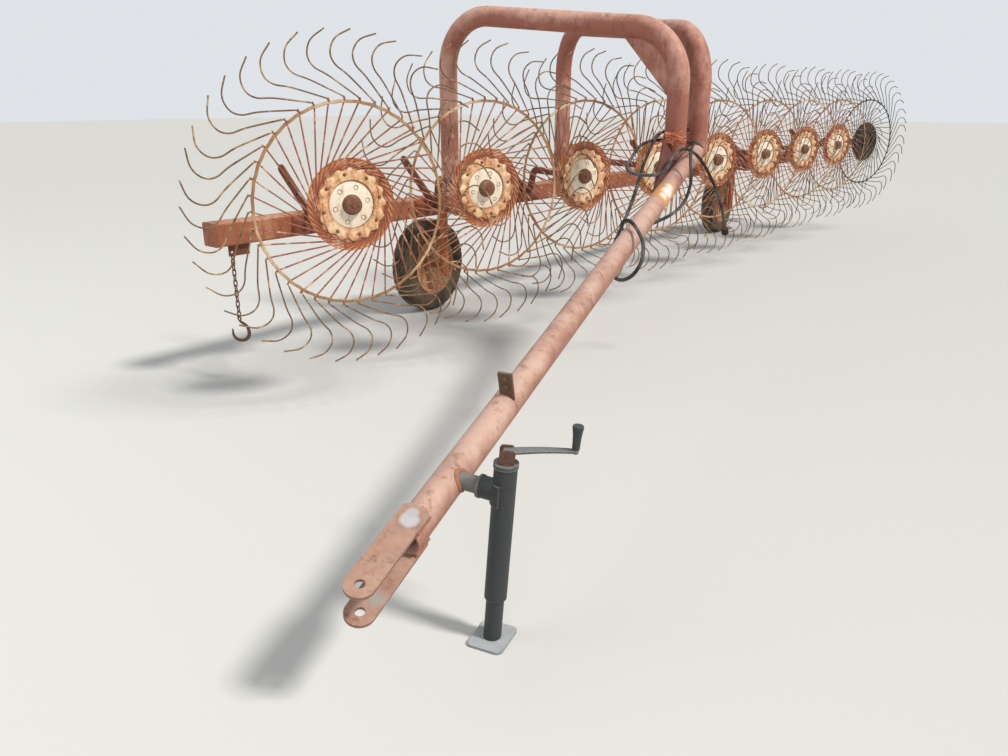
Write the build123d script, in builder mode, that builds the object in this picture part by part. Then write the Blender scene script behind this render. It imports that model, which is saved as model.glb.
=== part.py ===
# Trailed wheel rake: nine tined rake wheels in line on one square beam, drawn by a round tongue and two bent pipe arches
# that pass over the wheels, parked on a screw jack and two ground wheels.
#
# Millimetres. The origin is the centre of the hitch pin's bore, +Z is up, +Y runs along the beam from its front end to
# its rear end, and +X points from the beam to the side where the tongue is.
from build123d import *
from math import cos, hypot, radians, sin, sqrt, tan
import os

os.makedirs("parts", exist_ok=True)

# Ground and hitch
hitch_height = 365
ground_z = -hitch_height
seat_gap = 0.3
running_gap = 0.1

# Tongue: a straight round pipe from the hitch up to the two arches
tongue_od = 92
tongue_wall = 6.3
tongue_run = 3390
tongue_bearing = 15.1
tongue_rise_angle = 13.9
tongue_mouth = 200

# Hitch clevis: two flat ears on the top and the bottom of the tongue
clevis_roll = 13
ear_width = 78
ear_thickness = 10
ear_length = 275
ear_corner = 14
pin_bore = 26

# Beam: a square tube along Y
beam_side = 120
beam_wall = 7
beam_corner = 12
beam_x = -2454
beam_z = 443
beam_front_y = 1146
beam_rear_y = 9001
end_plate_thickness = 8

# Arches: the same round pipe bent twice, one leg on the tongue and one on the beam
arch_od = 114.3
arch_wall = 6.3
arch_bend = 285
arch_front_top = 1427
arch_rear_top = 1585
# name, x and y of the front leg, y where the rear leg lands on the beam
arches = [
    ("arch_near", -894, 3006, 2895),
    ("arch_far", -870, 3206, 4127),
]
arch_pad_length = 176
arch_pad_thickness = 12
gusset_thickness = 10
gusset_reach = 335
gusset_drop = 325
web_thickness = 10
web_length = 520
web_height = 195
web_offset = 36
web_foot = 20
web_top = 40

# Rake wheels
wheel_count = 9
wheel_pitch = 917
first_hub_y = 1361
hub_x = -1604
hub_z = 640
wheel_skew = 19
rim_radius = 450
rim_strip = 18
rim_thickness = 4
hub_ring_radius = 214
clamp_inner_radius = 108
clamp_groove_radius = 140
clamp_outer_radius = 186
clamp_scallop_depth = 9
clamp_scallops = 20
clamp_plate = 5
tine_sink = 1
hub_barrel_radius = 40
hub_barrel_length = 60
hub_cap_height = 34
hub_cap_radius = 22
hub_hole_radius = 9
hub_hole_circle = 78
hub_hole_count = 6
tine_count = 40
tine_wire = 8
# places along one tine: radius, and degrees that it trails the elbow at the rim
tine_places = [
    (182, 42),
    (457, 0),
    (598, 23),
    (735, 15),
]

# Rake arms, each from its pivot on the beam to the spindle of its wheel
arm_od = 45
spindle_radius = 20
pivot_od = 70
pivot_length = 150
pivot_stand = 104
lug_thickness = 12
arm_step = 320
arm_straight = 560
arm_bend = 90
arm_end = 62
lever_width = 50
lever_thickness = 12
lever_height = 400
lever_lean = 45
lever_hole = 14
lever_hole_shares = (0.55, 0.78, 1.0)

# Ground wheels
tyre_od = 650
tyre_width = 165
tyre_bead = 394
tyre_tread = 100
tyre_shoulder = 30
rim_width = 132
rim_sheet = 8
rim_flange = 12
rim_well = 14
rim_dish = 24
rim_hub_radius = 48
rim_hub_inside = 22
rim_hub_outside = 44
axle_radius = 17
ground_wheel_x = -2839
wheel_heading = 6
leg_od = 60
leg_gap = 36
leg_top_over_sleeve = 40
leg_under_axle = 42
collar_height = 14
sleeve_wall = 8
sleeve_height = 210
sleeve_clear = 0.5
sleeve_plate = 14
# name, y of the wheel leg
ground_wheels = [
    ("front", 3061),
    ("rear", 7731),
]

# Jack
jack_station = 431
jack_offset = 166
jack_lean = 4.5
jack_od = 63.5
jack_wall = 6
jack_leg_od = 51
jack_leg_wall = 4
jack_top_over_pivot = 78
jack_tube_under_pivot = 330
jack_leg_inside = 120
jack_cap_height = 12
jack_cap_od = 68
stub_od = 48.3
stub_wall = 5
stub_clear = 0.3
socket_od = 62
socket_length = 30
jack_flange = 66
jack_flange_thickness = 8
jack_wrap = 5
jack_wrap_height = 62
socket_clear = 2
jack_leg_below = 300
crank_turn = 24
crank_reach = 176
crank_bar = 14
crank_root_width = 30
crank_tip_width = 17
crank_hub_radius = 23
crank_hub_height = 42
grip_height = 78
grip_foot_radius = 9
grip_top_radius = 15
foot_length = 128
foot_width = 108
foot_thickness = 8
foot_corner = 18

# Hose bracket on the tongue
bracket_station = 818
bracket_offset = 14
bracket_width = 46
bracket_foot = 20
bracket_top = 122
bracket_plate = 10
bracket_bolt_radius = 9
bracket_bolt_height = 7
bracket_bolts = (76, 102)

# Hook on a short chain that hangs from a tab under the front of the beam
chain_y = beam_front_y + 90
chain_x = beam_x + 25
chain_tab_length = 120
chain_tab_drop = 58
chain_tab_thickness = 6
chain_hole = 8
chain_hole_inset = 18
link_wire = 6
link_length = 40
link_width = 22
link_corner = 4.5
link_count = 12
hook_wire = 15
hook_eye_radius = 9
hook_eye_thickness = 8
hook_half = 32
hook_height = 100
hook_shoulder = 44
hook_tip = 46
hook_bend = 20


def finish(piece, name):
    """Labels a finished piece and writes its file."""
    piece.part.label = name
    export_step(piece.part, f"parts/{name}.step")


# The tongue's own directions: along the pipe, level across it, and square to both
rise = radians(tongue_rise_angle)
bearing = radians(tongue_bearing)
tongue_level = Vector(-sin(bearing), cos(bearing), 0)
tongue_across = Vector(cos(bearing), sin(bearing), 0)
tongue_axis = tongue_level * cos(rise) + Vector(0, 0, sin(rise))
tongue_up = Vector(0, 0, cos(rise)) - tongue_level * sin(rise)
tongue_plane = Plane(origin=(0, 0, 0), x_dir=tongue_across, z_dir=tongue_axis)
tongue_length = tongue_run / cos(rise)

with BuildPart() as tongue_pipe:
    with BuildSketch(tongue_plane.offset(tongue_mouth)):
        Circle(tongue_od / 2)
        Circle(tongue_od / 2 - tongue_wall, mode=Mode.SUBTRACT)
    extrude(amount=tongue_length - tongue_mouth)
finish(tongue_pipe, "tongue_pipe")

# Room for the tongue in what is welded to it
tongue_room = tongue_plane.offset(-tongue_length).location * Cylinder(
    tongue_od / 2 + seat_gap, 6 * tongue_length, mode=Mode.PRIVATE
)

# Clevis ears: flat bars with round noses on the top and the bottom of the pipe
roll = radians(clevis_roll)
pin_axis = tongue_up * cos(roll) + tongue_across * sin(roll)
ear_plane = Plane(origin=(0, 0, 0), x_dir=tongue_axis.cross(pin_axis), z_dir=pin_axis)
ear_inside = tongue_od / 2 + seat_gap
for name, ear_start in (
    ("clevis_ear_upper", ear_inside),
    ("clevis_ear_lower", -ear_inside - ear_thickness),
):
    with BuildPart() as ear:
        with BuildSketch(ear_plane.offset(ear_start)):
            Circle(ear_width / 2)
            with Locations((0, ear_length / 2)):
                Rectangle(ear_width, ear_length)
            with Locations((-ear_width / 2, ear_length), (ear_width / 2, ear_length)):
                RegularPolygon(ear_corner, 4, mode=Mode.SUBTRACT)
            Circle(pin_bore / 2, mode=Mode.SUBTRACT)
        extrude(amount=ear_thickness)
    finish(ear, name)

# Beam and its end plates
beam_plane = Plane(origin=(beam_x, beam_front_y, beam_z), x_dir=(-1, 0, 0), z_dir=(0, 1, 0))
with BuildPart() as main_beam:
    with BuildSketch(beam_plane):
        RectangleRounded(beam_side, beam_side, beam_corner)
        RectangleRounded(
            beam_side - 2 * beam_wall, beam_side - 2 * beam_wall, beam_corner - beam_wall, mode=Mode.SUBTRACT
        )
    extrude(amount=beam_rear_y - beam_front_y)
finish(main_beam, "main_beam")

for name, start in (
    ("beam_cap_front", -end_plate_thickness),
    ("beam_cap_rear", beam_rear_y - beam_front_y),
):
    with BuildPart() as cap:
        with BuildSketch(beam_plane.offset(start)):
            RectangleRounded(beam_side, beam_side, beam_corner)
        extrude(amount=end_plate_thickness)
    finish(cap, name)

# Arches, each fused with the gusset inside its front bend, on a pad on the beam
beam_top = beam_z + beam_side / 2
arch_landing = beam_top + arch_pad_thickness
for name, leg_x, leg_y, landing_y in arches:
    leg_foot_z = hypot(leg_x, leg_y) * tan(rise)
    reach = hypot(beam_x - leg_x, landing_y - leg_y)
    arch_plane = Plane(
        origin=(leg_x, leg_y, 0), x_dir=(beam_x - leg_x, landing_y - leg_y, 0),
        z_dir=Vector(beam_x - leg_x, landing_y - leg_y, 0).cross(Vector(0, 0, 1)),
    )
    gusset_top = arch_front_top + (arch_rear_top - arch_front_top) * gusset_reach / reach
    with BuildPart() as arch:
        with BuildLine(arch_plane) as centre_line:
            FilletPolyline(
                (0, leg_foot_z), (0, arch_front_top), (reach, arch_rear_top), (reach, arch_landing), radius=arch_bend
            )
        with BuildSketch(Plane(origin=centre_line.line @ 0, z_dir=centre_line.line % 0)):
            Circle(arch_od / 2)
            Circle(arch_od / 2 - arch_wall, mode=Mode.SUBTRACT)
        sweep(path=centre_line.line)
        with BuildSketch(arch_plane.offset(-gusset_thickness / 2)):
            with BuildLine():
                Polyline(
                    (arch_od / 2 - arch_wall / 2, arch_front_top - gusset_drop),
                    (gusset_reach, gusset_top - arch_od / 2 + arch_wall / 2),
                    (arch_bend, arch_front_top - arch_od / 2 + arch_wall),
                    (arch_bend / 2, arch_front_top - arch_bend / 2 + arch_od / 4),
                    (arch_od / 2 - arch_wall / 2, arch_front_top - arch_bend),
                    close=True,
                )
            make_face()
        extrude(amount=gusset_thickness)
        add(tongue_room, mode=Mode.SUBTRACT)
    finish(arch, name)

    with BuildPart() as pad:
        with BuildSketch(Plane.XY.offset(beam_top)):
            with Locations((beam_x, landing_y)):
                Rectangle(beam_side, arch_pad_length)
        extrude(amount=arch_pad_thickness)
    finish(pad, f"{name}_pad")

# Web plate between the near arch's leg and the side of the tongue
near_leg = Vector(arches[0][1], arches[0][2], 0)
near_station = near_leg.dot(tongue_level)
leg_room = Plane(origin=near_leg).location * Cylinder(
    arch_od / 2 + seat_gap, 2 * arch_front_top, mode=Mode.PRIVATE
)
web_plane = Plane(origin=(0, 0, 0), x_dir=tongue_axis, z_dir=tongue_axis.cross(tongue_up))
web_rear = near_station / cos(rise)
web_start = web_rear - web_length
with BuildPart() as foot_web:
    with BuildSketch(web_plane.offset(-web_offset - web_thickness / 2)):
        with BuildLine():
            Polyline(
                (web_start, web_foot), (web_rear, web_foot), (web_rear + web_height * tan(rise), web_height),
                (web_rear - web_top, web_height), (web_start, web_foot + web_thickness), close=True,
            )
        make_face()
    extrude(amount=web_thickness)
    add(tongue_room, mode=Mode.SUBTRACT)
    add(leg_room, mode=Mode.SUBTRACT)
finish(foot_web, "foot_web")

# One rake wheel, lying in XY with its axis on Z and its cap upwards
plate_face = tine_sink - tine_wire / 4
plate_back = plate_face - clamp_plate
clamp_back = tine_wire / 2 - tine_sink
hub_face = clamp_back + clamp_plate
tine_points = [
    (radius * cos(radians(angle)), radius * sin(radians(angle)), 0) for radius, angle in tine_places
]
with BuildPart() as hub:
    with BuildSketch(Plane.XZ):
        with BuildLine():
            Polyline(
                (spindle_radius + running_gap, hub_face - hub_barrel_length),
                (hub_barrel_radius, hub_face - hub_barrel_length),
                (hub_barrel_radius, plate_back),
                (hub_ring_radius, plate_back),
                (hub_ring_radius, plate_face),
                (clamp_groove_radius, plate_face),
                (clamp_groove_radius, hub_face),
                (clamp_inner_radius, hub_face),
                (clamp_inner_radius, plate_face),
                (hub_barrel_radius, plate_face),
                (hub_barrel_radius, hub_face),
                (hub_cap_radius, hub_face + hub_cap_height),
                (0, hub_face + hub_cap_height),
                (0, hub_face),
                (spindle_radius + running_gap, hub_face),
                close=True,
            )
        make_face()
    revolve(axis=Axis.Z)
    with BuildSketch(Plane.XY.offset(clamp_back)):
        RegularPolygon(clamp_outer_radius, 2 * clamp_scallops)
        Circle(clamp_groove_radius - clamp_plate, mode=Mode.SUBTRACT)
        with PolarLocations(clamp_outer_radius, clamp_scallops, start_angle=180 / clamp_scallops):
            Circle(clamp_scallop_depth, mode=Mode.SUBTRACT)
    extrude(amount=clamp_plate)
    with BuildSketch(Plane.XY.offset(plate_back)):
        with PolarLocations(hub_hole_circle, hub_hole_count):
            Circle(hub_hole_radius)
    extrude(amount=clamp_plate, mode=Mode.SUBTRACT)

with BuildPart() as rim:
    with BuildSketch(Plane.XY.offset(clamp_back)):
        RegularPolygon(rim_radius, tine_count)
        RegularPolygon(rim_radius - rim_strip, tine_count, mode=Mode.SUBTRACT)
    extrude(amount=rim_thickness)

with BuildPart() as tine:
    with BuildLine() as tine_line:
        Polyline(*tine_points)
    with BuildSketch(Plane(origin=tine_line.line @ 0, x_dir=(0, 0, 1), z_dir=tine_line.line % 0)):
        RegularPolygon(tine_wire / 2, 3)
    sweep(path=tine_line.line, transition=Transition.RIGHT)

with BuildPart() as rake_wheel:
    add(hub.part)
    add(rim.part)
    with PolarLocations(0, tine_count):
        add(tine.part)

# The nine rake wheels and their arms
skew = radians(wheel_skew)
wheel_axis = Vector(cos(skew), -sin(skew), 0)
wheel_across = Vector(sin(skew), cos(skew), 0)
lean_lever = radians(lever_lean)
pivot_x = beam_x + beam_side / 2 + pivot_stand
for index in range(wheel_count):
    number = index + 1
    hub_centre = Vector(hub_x, first_hub_y + wheel_pitch * index, hub_z)
    wheel_plane = Plane(origin=hub_centre, x_dir=wheel_across, z_dir=wheel_axis)
    placed = wheel_plane.location * rake_wheel.part
    placed.label = f"rake_wheel_{number}"
    export_step(placed, f"parts/rake_wheel_{number}.step")

    arm_y = hub_centre.Y + arm_step
    pivot = Vector(pivot_x, arm_y, beam_z)
    spindle_start = hub_centre - wheel_axis * arm_straight
    spindle_face = hub_centre - wheel_axis * arm_end
    pivot_plane = Plane(
        origin=(pivot_x, arm_y, beam_z), x_dir=(-cos(lean_lever), 0, -sin(lean_lever)), z_dir=(0, 1, 0)
    )
    with BuildPart() as arm:
        with BuildLine() as arm_line:
            FilletPolyline(pivot, spindle_start, spindle_face, radius=arm_bend)
        with BuildSketch(Plane(origin=arm_line.line @ 0, z_dir=arm_line.line % 0)):
            Circle(arm_od / 2)
        sweep(path=arm_line.line)
        with BuildSketch(Plane(origin=spindle_face, z_dir=wheel_axis)):
            Circle(spindle_radius)
        extrude(amount=arm_end)
        with BuildSketch(pivot_plane.offset(-pivot_length / 2)):
            Circle(pivot_od / 2)
        extrude(amount=pivot_length)
        with BuildSketch(pivot_plane.offset(-lever_thickness / 2)):
            with Locations((0, lever_height / 2)):
                Rectangle(lever_width, lever_height)
            with Locations((0, lever_height)):
                Circle(lever_width / 2)
            with Locations(*[(0, lever_height * share) for share in lever_hole_shares]):
                Circle(lever_hole / 2, mode=Mode.SUBTRACT)
        extrude(amount=lever_thickness)
    finish(arm, f"rake_arm_{number}")

# Pivot brackets: two lugs for each arm, fused to one plate on the beam's face, all nine in one node
lug_start = pivot_length / 2 + seat_gap
with BuildPart() as pivot_brackets:
    for index in range(wheel_count):
        arm_y = first_hub_y + wheel_pitch * index + arm_step
        for lug_y in (arm_y - lug_start - lug_thickness, arm_y + lug_start):
            with BuildSketch(Plane(origin=(pivot_x, lug_y, beam_z), x_dir=(-1, 0, 0), z_dir=(0, 1, 0))):
                Circle(pivot_od / 2)
                with Locations((pivot_stand / 2, 0)):
                    Rectangle(pivot_stand, pivot_od)
            extrude(amount=lug_thickness)
        with BuildSketch(Plane(origin=(beam_x + beam_side / 2, arm_y, beam_z), x_dir=(0, 1, 0), z_dir=(1, 0, 0))):
            Rectangle(2 * (lug_start + lug_thickness), pivot_od + 2 * lug_thickness)
        extrude(amount=lug_thickness)
finish(pivot_brackets, "pivot_brackets")

# Ground wheels: a sleeve on the beam, a leg that turns in it, a rim and a tyre
axle_z = ground_z + tyre_od / 2
leg_x = ground_wheel_x + tyre_width / 2 + leg_gap + leg_od / 2
sleeve_top = beam_z + sleeve_height / 2
leg_top = sleeve_top + leg_top_over_sleeve
sleeve_od = leg_od + 2 * sleeve_clear + 2 * sleeve_wall
beam_side_x = beam_x - beam_side / 2
heading = radians(wheel_heading)
bead_seat = tyre_bead / 2
well_radius = bead_seat - rim_well
rim_half = rim_width / 2
bead_half = rim_half - rim_sheet
tyre_bead_half = bead_half - seat_gap
flange_radius = bead_seat + rim_flange + seat_gap
widest_radius = (flange_radius + tyre_od / 2) / 2
shoulder_radius = tyre_od / 2 - tyre_shoulder / 2
shoulder_half = tyre_width / 2 - tyre_shoulder / 3
for name, leg_y in ground_wheels:
    with BuildPart() as sleeve:
        with BuildSketch(Plane.XY.offset(sleeve_top - sleeve_height)):
            with Locations((leg_x, leg_y)):
                Circle(sleeve_od / 2)
            with Locations(((leg_x + beam_side_x) / 2, leg_y)):
                Rectangle(beam_side_x - leg_x, sleeve_plate)
            with Locations((beam_side_x - sleeve_plate / 2, leg_y)):
                Rectangle(sleeve_plate, beam_side)
        extrude(amount=sleeve_height)
        for plate_z in (beam_z + beam_side / 2 - sleeve_plate, beam_z - beam_side / 2):
            with BuildSketch(Plane.XY.offset(plate_z)):
                with Locations(((leg_x + beam_side_x) / 2, leg_y)):
                    Rectangle(beam_side_x - leg_x, beam_side)
            extrude(amount=sleeve_plate)
        with BuildSketch(Plane.XY.offset(sleeve_top - sleeve_height)):
            with Locations((leg_x, leg_y)):
                Circle(leg_od / 2 + sleeve_clear)
        extrude(amount=sleeve_height, mode=Mode.SUBTRACT)
    finish(sleeve, f"wheel_sleeve_{name}")

    leg_plane = Plane(origin=(leg_x, leg_y, axle_z), x_dir=(cos(heading), sin(heading), 0), z_dir=(0, 0, 1))
    axle_plane = Plane(
        origin=(leg_x, leg_y, axle_z), x_dir=(0, 0, 1), z_dir=(-cos(heading), -sin(heading), 0)
    )
    wheel_offset = tyre_width / 2 + leg_gap + leg_od / 2
    with BuildPart() as leg:
        with BuildSketch(leg_plane.offset(-leg_under_axle)):
            Circle(leg_od / 2)
        extrude(amount=leg_top - axle_z + leg_under_axle)
        with BuildSketch(Plane.XY.offset(sleeve_top + sleeve_clear)):
            with Locations((leg_x, leg_y)):
                Circle(sleeve_od / 2)
        extrude(amount=collar_height)
        with BuildSketch(axle_plane):
            Circle(axle_radius)
        extrude(amount=wheel_offset + rim_hub_outside)
    finish(leg, f"wheel_leg_{name}")

    hub_plane = axle_plane.offset(wheel_offset)
    hub_axis = Axis(hub_plane.origin, hub_plane.z_dir)
    # a profile's first coordinate is the radius, and its second runs along the axle towards the leg
    profile_plane = Plane(
        origin=hub_plane.origin, x_dir=(0, 0, 1), z_dir=hub_plane.z_dir.cross(Vector(0, 0, 1))
    )
    with BuildPart() as ground_rim:
        with BuildSketch(profile_plane):
            with BuildLine():
                Polyline(
                    (axle_radius + running_gap, -rim_hub_outside), (rim_hub_radius, -rim_hub_outside),
                    (rim_hub_radius, -rim_sheet / 2), (well_radius - rim_sheet, rim_dish - rim_sheet / 2),
                    (bead_seat - rim_sheet, -rim_half), (bead_seat + rim_flange, -rim_half),
                    (bead_seat + rim_flange, -bead_half), (bead_seat, -bead_half), (well_radius, -rim_well),
                    (well_radius, rim_well), (bead_seat, bead_half), (bead_seat + rim_flange, bead_half),
                    (bead_seat + rim_flange, rim_half), (bead_seat - rim_sheet, rim_half),
                    (well_radius - rim_sheet, rim_dish + rim_sheet / 2), (rim_hub_radius, rim_sheet / 2),
                    (rim_hub_radius, rim_hub_inside), (axle_radius + running_gap, rim_hub_inside),
                    close=True,
                )
            make_face()
        revolve(axis=hub_axis)
    finish(ground_rim, f"ground_rim_{name}")

    with BuildPart() as tyre:
        with BuildSketch(profile_plane):
            with BuildLine():
                Polyline(
                    (flange_radius, -tyre_bead_half), (bead_seat + seat_gap, -tyre_bead_half),
                    (bead_seat + seat_gap, tyre_bead_half), (flange_radius, tyre_bead_half),
                )
                ThreePointArc(
                    (flange_radius, tyre_bead_half), (widest_radius, tyre_width / 2),
                    (shoulder_radius, shoulder_half),
                )
                Line((shoulder_radius, shoulder_half), (tyre_od / 2, tyre_tread / 2))
                Line((tyre_od / 2, tyre_tread / 2), (tyre_od / 2, -tyre_tread / 2))
                Line((tyre_od / 2, -tyre_tread / 2), (shoulder_radius, -shoulder_half))
                ThreePointArc(
                    (shoulder_radius, -shoulder_half), (widest_radius, -tyre_width / 2),
                    (flange_radius, -tyre_bead_half),
                )
            make_face()
        revolve(axis=hub_axis)
    finish(tyre, f"tyre_{name}")

# Jack: its own plane has Z up the jack and X out along the swivel stub
lean = radians(jack_lean)
jack_out = tongue_across * cos(lean) - Vector(0, 0, sin(lean))
jack_up = tongue_across * sin(lean) + Vector(0, 0, cos(lean))
jack_pivot = tongue_level * jack_station + tongue_across * jack_offset + Vector(0, 0, jack_station * tan(rise))
jack_plane = Plane(origin=jack_pivot, x_dir=jack_out, z_dir=jack_up)
stub_plane = Plane(origin=jack_pivot, x_dir=jack_up, z_dir=jack_out * -1)

socket_floor = jack_od / 2 + socket_clear
stub_start = socket_floor + socket_clear
socket_end = socket_floor + socket_length

with BuildPart() as jack_stub:
    with BuildSketch(stub_plane.offset(stub_start)):
        Circle(stub_od / 2)
    extrude(amount=jack_offset - stub_start)
    with BuildSketch(stub_plane.offset(socket_end + seat_gap)):
        Circle(jack_flange / 2)
    extrude(amount=jack_flange_thickness)
    with BuildSketch(stub_plane.offset(stub_start)):
        Circle(stub_od / 2 - stub_wall)
    extrude(amount=jack_offset - stub_start, mode=Mode.SUBTRACT)
    add(tongue_room, mode=Mode.SUBTRACT)
finish(jack_stub, "jack_stub")

with BuildPart() as jack_tube:
    with BuildSketch(jack_plane.offset(-jack_tube_under_pivot)):
        Circle(jack_od / 2)
    extrude(amount=jack_tube_under_pivot + jack_top_over_pivot)
    with BuildSketch(jack_plane.offset(-jack_wrap_height / 2)):
        Circle(jack_od / 2 + jack_wrap)
        with Locations((jack_od / 2, 0)):
            Rectangle(jack_od, 2 * jack_od, mode=Mode.SUBTRACT)
    extrude(amount=jack_wrap_height)
    with BuildSketch(stub_plane):
        Circle(socket_od / 2)
    extrude(amount=socket_end)
    with BuildSketch(stub_plane.offset(socket_floor)):
        Circle(stub_od / 2 + stub_clear)
    extrude(amount=socket_length, mode=Mode.SUBTRACT)
    with BuildSketch(jack_plane.offset(-jack_tube_under_pivot)):
        Circle(jack_od / 2 - jack_wall)
    extrude(amount=jack_tube_under_pivot + jack_top_over_pivot, mode=Mode.SUBTRACT)
finish(jack_tube, "jack_tube")

with BuildPart() as jack_cap:
    with BuildSketch(jack_plane.offset(jack_top_over_pivot)):
        Circle(jack_cap_od / 2)
    extrude(amount=jack_cap_height)
finish(jack_cap, "jack_cap")

foot_top = ground_z + foot_thickness
with BuildPart() as jack_leg:
    with BuildSketch(jack_plane.offset(-jack_tube_under_pivot - jack_leg_below)):
        Circle(jack_leg_od / 2)
        Circle(jack_leg_od / 2 - jack_leg_wall, mode=Mode.SUBTRACT)
    extrude(amount=jack_leg_below + jack_leg_inside)
    split(bisect_by=Plane.XY.offset(foot_top), keep=Keep.TOP)
finish(jack_leg, "jack_leg")

foot_drop = (jack_pivot.Z - foot_top) / cos(lean)
foot_centre = jack_pivot - jack_up * foot_drop
foot_plane = Plane(origin=(foot_centre.X, foot_centre.Y, ground_z), x_dir=tongue_across, z_dir=(0, 0, 1))
with BuildPart() as jack_foot:
    with BuildSketch(foot_plane):
        RectangleRounded(foot_width, foot_length, foot_corner)
    extrude(amount=foot_thickness)
finish(jack_foot, "jack_foot")

crank_plane = Plane(
    origin=jack_pivot + jack_up * (jack_top_over_pivot + jack_cap_height),
    x_dir=(jack_plane.x_dir).rotate(Axis((0, 0, 0), jack_up), crank_turn), z_dir=jack_up,
)
arm_plane = Plane(
    origin=crank_plane.origin + jack_up * (crank_hub_height - crank_bar / 2),
    x_dir=crank_plane.y_dir, z_dir=crank_plane.x_dir,
)
with BuildPart() as jack_crank:
    with BuildSketch(crank_plane):
        Circle(crank_hub_radius)
    extrude(amount=crank_hub_height)
    with BuildSketch(arm_plane):
        Rectangle(crank_root_width, crank_bar)
    with BuildSketch(arm_plane.offset(crank_reach + crank_tip_width / 2)):
        Rectangle(crank_tip_width, crank_bar / 2)
    loft()
    with BuildSketch(crank_plane.offset(crank_hub_height - crank_bar / 2)):
        with Locations((crank_reach, 0)):
            Circle(grip_foot_radius)
    with BuildSketch(crank_plane.offset(crank_hub_height + grip_height)):
        with Locations((crank_reach, 0)):
            Circle(grip_top_radius)
    loft()
finish(jack_crank, "jack_crank")

# Hose bracket: a plate that stands across the top of the tongue, with two bolts one above the other
bracket_plane = Plane(
    origin=tongue_axis * bracket_station, x_dir=tongue_across, z_dir=tongue_axis * -1
)
with BuildPart() as hose_bracket:
    with BuildSketch(bracket_plane.offset(-bracket_plate / 2)):
        with Locations((bracket_offset, (bracket_top + bracket_foot) / 2)):
            Rectangle(bracket_width, bracket_top - bracket_foot)
    extrude(amount=bracket_plate)
    with BuildSketch(bracket_plane.offset(bracket_plate / 2)):
        with Locations(*[(bracket_offset, bolt_up) for bolt_up in bracket_bolts]):
            RegularPolygon(bracket_bolt_radius, 6)
    extrude(amount=bracket_bolt_height)
    add(tongue_room, mode=Mode.SUBTRACT)
finish(hose_bracket, "hose_bracket")

# Chain tab under the beam, the chain's links, and the hook in the last of them
beam_bottom = beam_z - beam_side / 2
tab_plane = Plane(origin=(chain_x - chain_tab_thickness / 2, chain_y, beam_bottom), x_dir=(0, 1, 0), z_dir=(1, 0, 0))
with BuildPart() as chain_tab:
    with BuildSketch(tab_plane):
        with Locations((chain_tab_length / 2 - chain_hole_inset, -chain_tab_drop / 2)):
            Rectangle(chain_tab_length, chain_tab_drop - 2 * seat_gap)
        with Locations((0, chain_hole_inset - chain_tab_drop)):
            Circle(chain_hole, mode=Mode.SUBTRACT)
    extrude(amount=chain_tab_thickness)
finish(chain_tab, "chain_tab")

link_pitch = link_length - 2 * link_wire - seat_gap
hole_seat = sqrt(chain_hole ** 2 - (link_wire / 2) ** 2)
first_link_z = beam_bottom - chain_tab_drop + chain_hole_inset - hole_seat + seat_gap + link_wire - link_length / 2
with BuildPart() as hook_chain:
    for index in range(link_count):
        link_z = first_link_z - link_pitch * index
        across_beam = index % 2 == 0
        link_side = (1, 0, 0) if across_beam else (0, 1, 0)
        link_face = (0, -1, 0) if across_beam else (1, 0, 0)
        link_plane = Plane(origin=(chain_x, chain_y, link_z), x_dir=link_side, z_dir=link_face)
        with BuildSketch(link_plane.offset(-link_wire / 2)):
            for grow, mode in ((0, Mode.ADD), (-link_wire, Mode.SUBTRACT)):
                half_width = link_width / 2 + grow
                half_length = link_length / 2 + grow
                cut = link_corner + grow * (2 - sqrt(2))
                with BuildLine():
                    Polyline(
                        (half_width, half_length - cut), (half_width - cut, half_length),
                        (cut - half_width, half_length), (-half_width, half_length - cut),
                        (-half_width, cut - half_length), (cut - half_width, -half_length),
                        (half_width - cut, -half_length), (half_width, cut - half_length),
                        close=True,
                    )
                make_face(mode=mode)
        extrude(amount=link_wire)
finish(hook_chain, "hook_chain")

last_link_floor = first_link_z - link_pitch * (link_count - 1) - link_length / 2 + link_wire
eye_z = last_link_floor + seat_gap - sqrt(hook_eye_radius ** 2 - (link_wire / 2) ** 2)
hook_plane = Plane(origin=(chain_x, chain_y, eye_z), x_dir=(1, 0, 0), z_dir=(0, -1, 0))
with BuildPart() as hook:
    with BuildSketch(hook_plane.offset(-hook_eye_thickness / 2)):
        Circle(hook_eye_radius + hook_eye_thickness)
    extrude(amount=hook_eye_thickness)
    with BuildLine(hook_plane) as hook_line:
        FilletPolyline(
            (0, -hook_eye_radius - hook_wire / 2), (hook_half, -hook_shoulder), (hook_half, -hook_height),
            (-hook_half, -hook_height), (-hook_half, hook_tip - hook_height), radius=hook_bend,
        )
    with BuildSketch(Plane(origin=hook_line.line @ 0, z_dir=hook_line.line % 0)):
        Circle(hook_wire / 2)
    sweep(path=hook_line.line)
    with BuildSketch(hook_plane.offset(-hook_wire)):
        Circle(hook_eye_radius)
    extrude(amount=2 * hook_wire, mode=Mode.SUBTRACT)
finish(hook, "hook")
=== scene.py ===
# Dresses the trailed wheel rake: worn paint, tined wheels, tyres, jack, chain, hose, light and camera
import random
from math import atan, cos, pi, radians, sin, sqrt, tan

import bpy
from mathutils import Euler, Matrix, Vector


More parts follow.
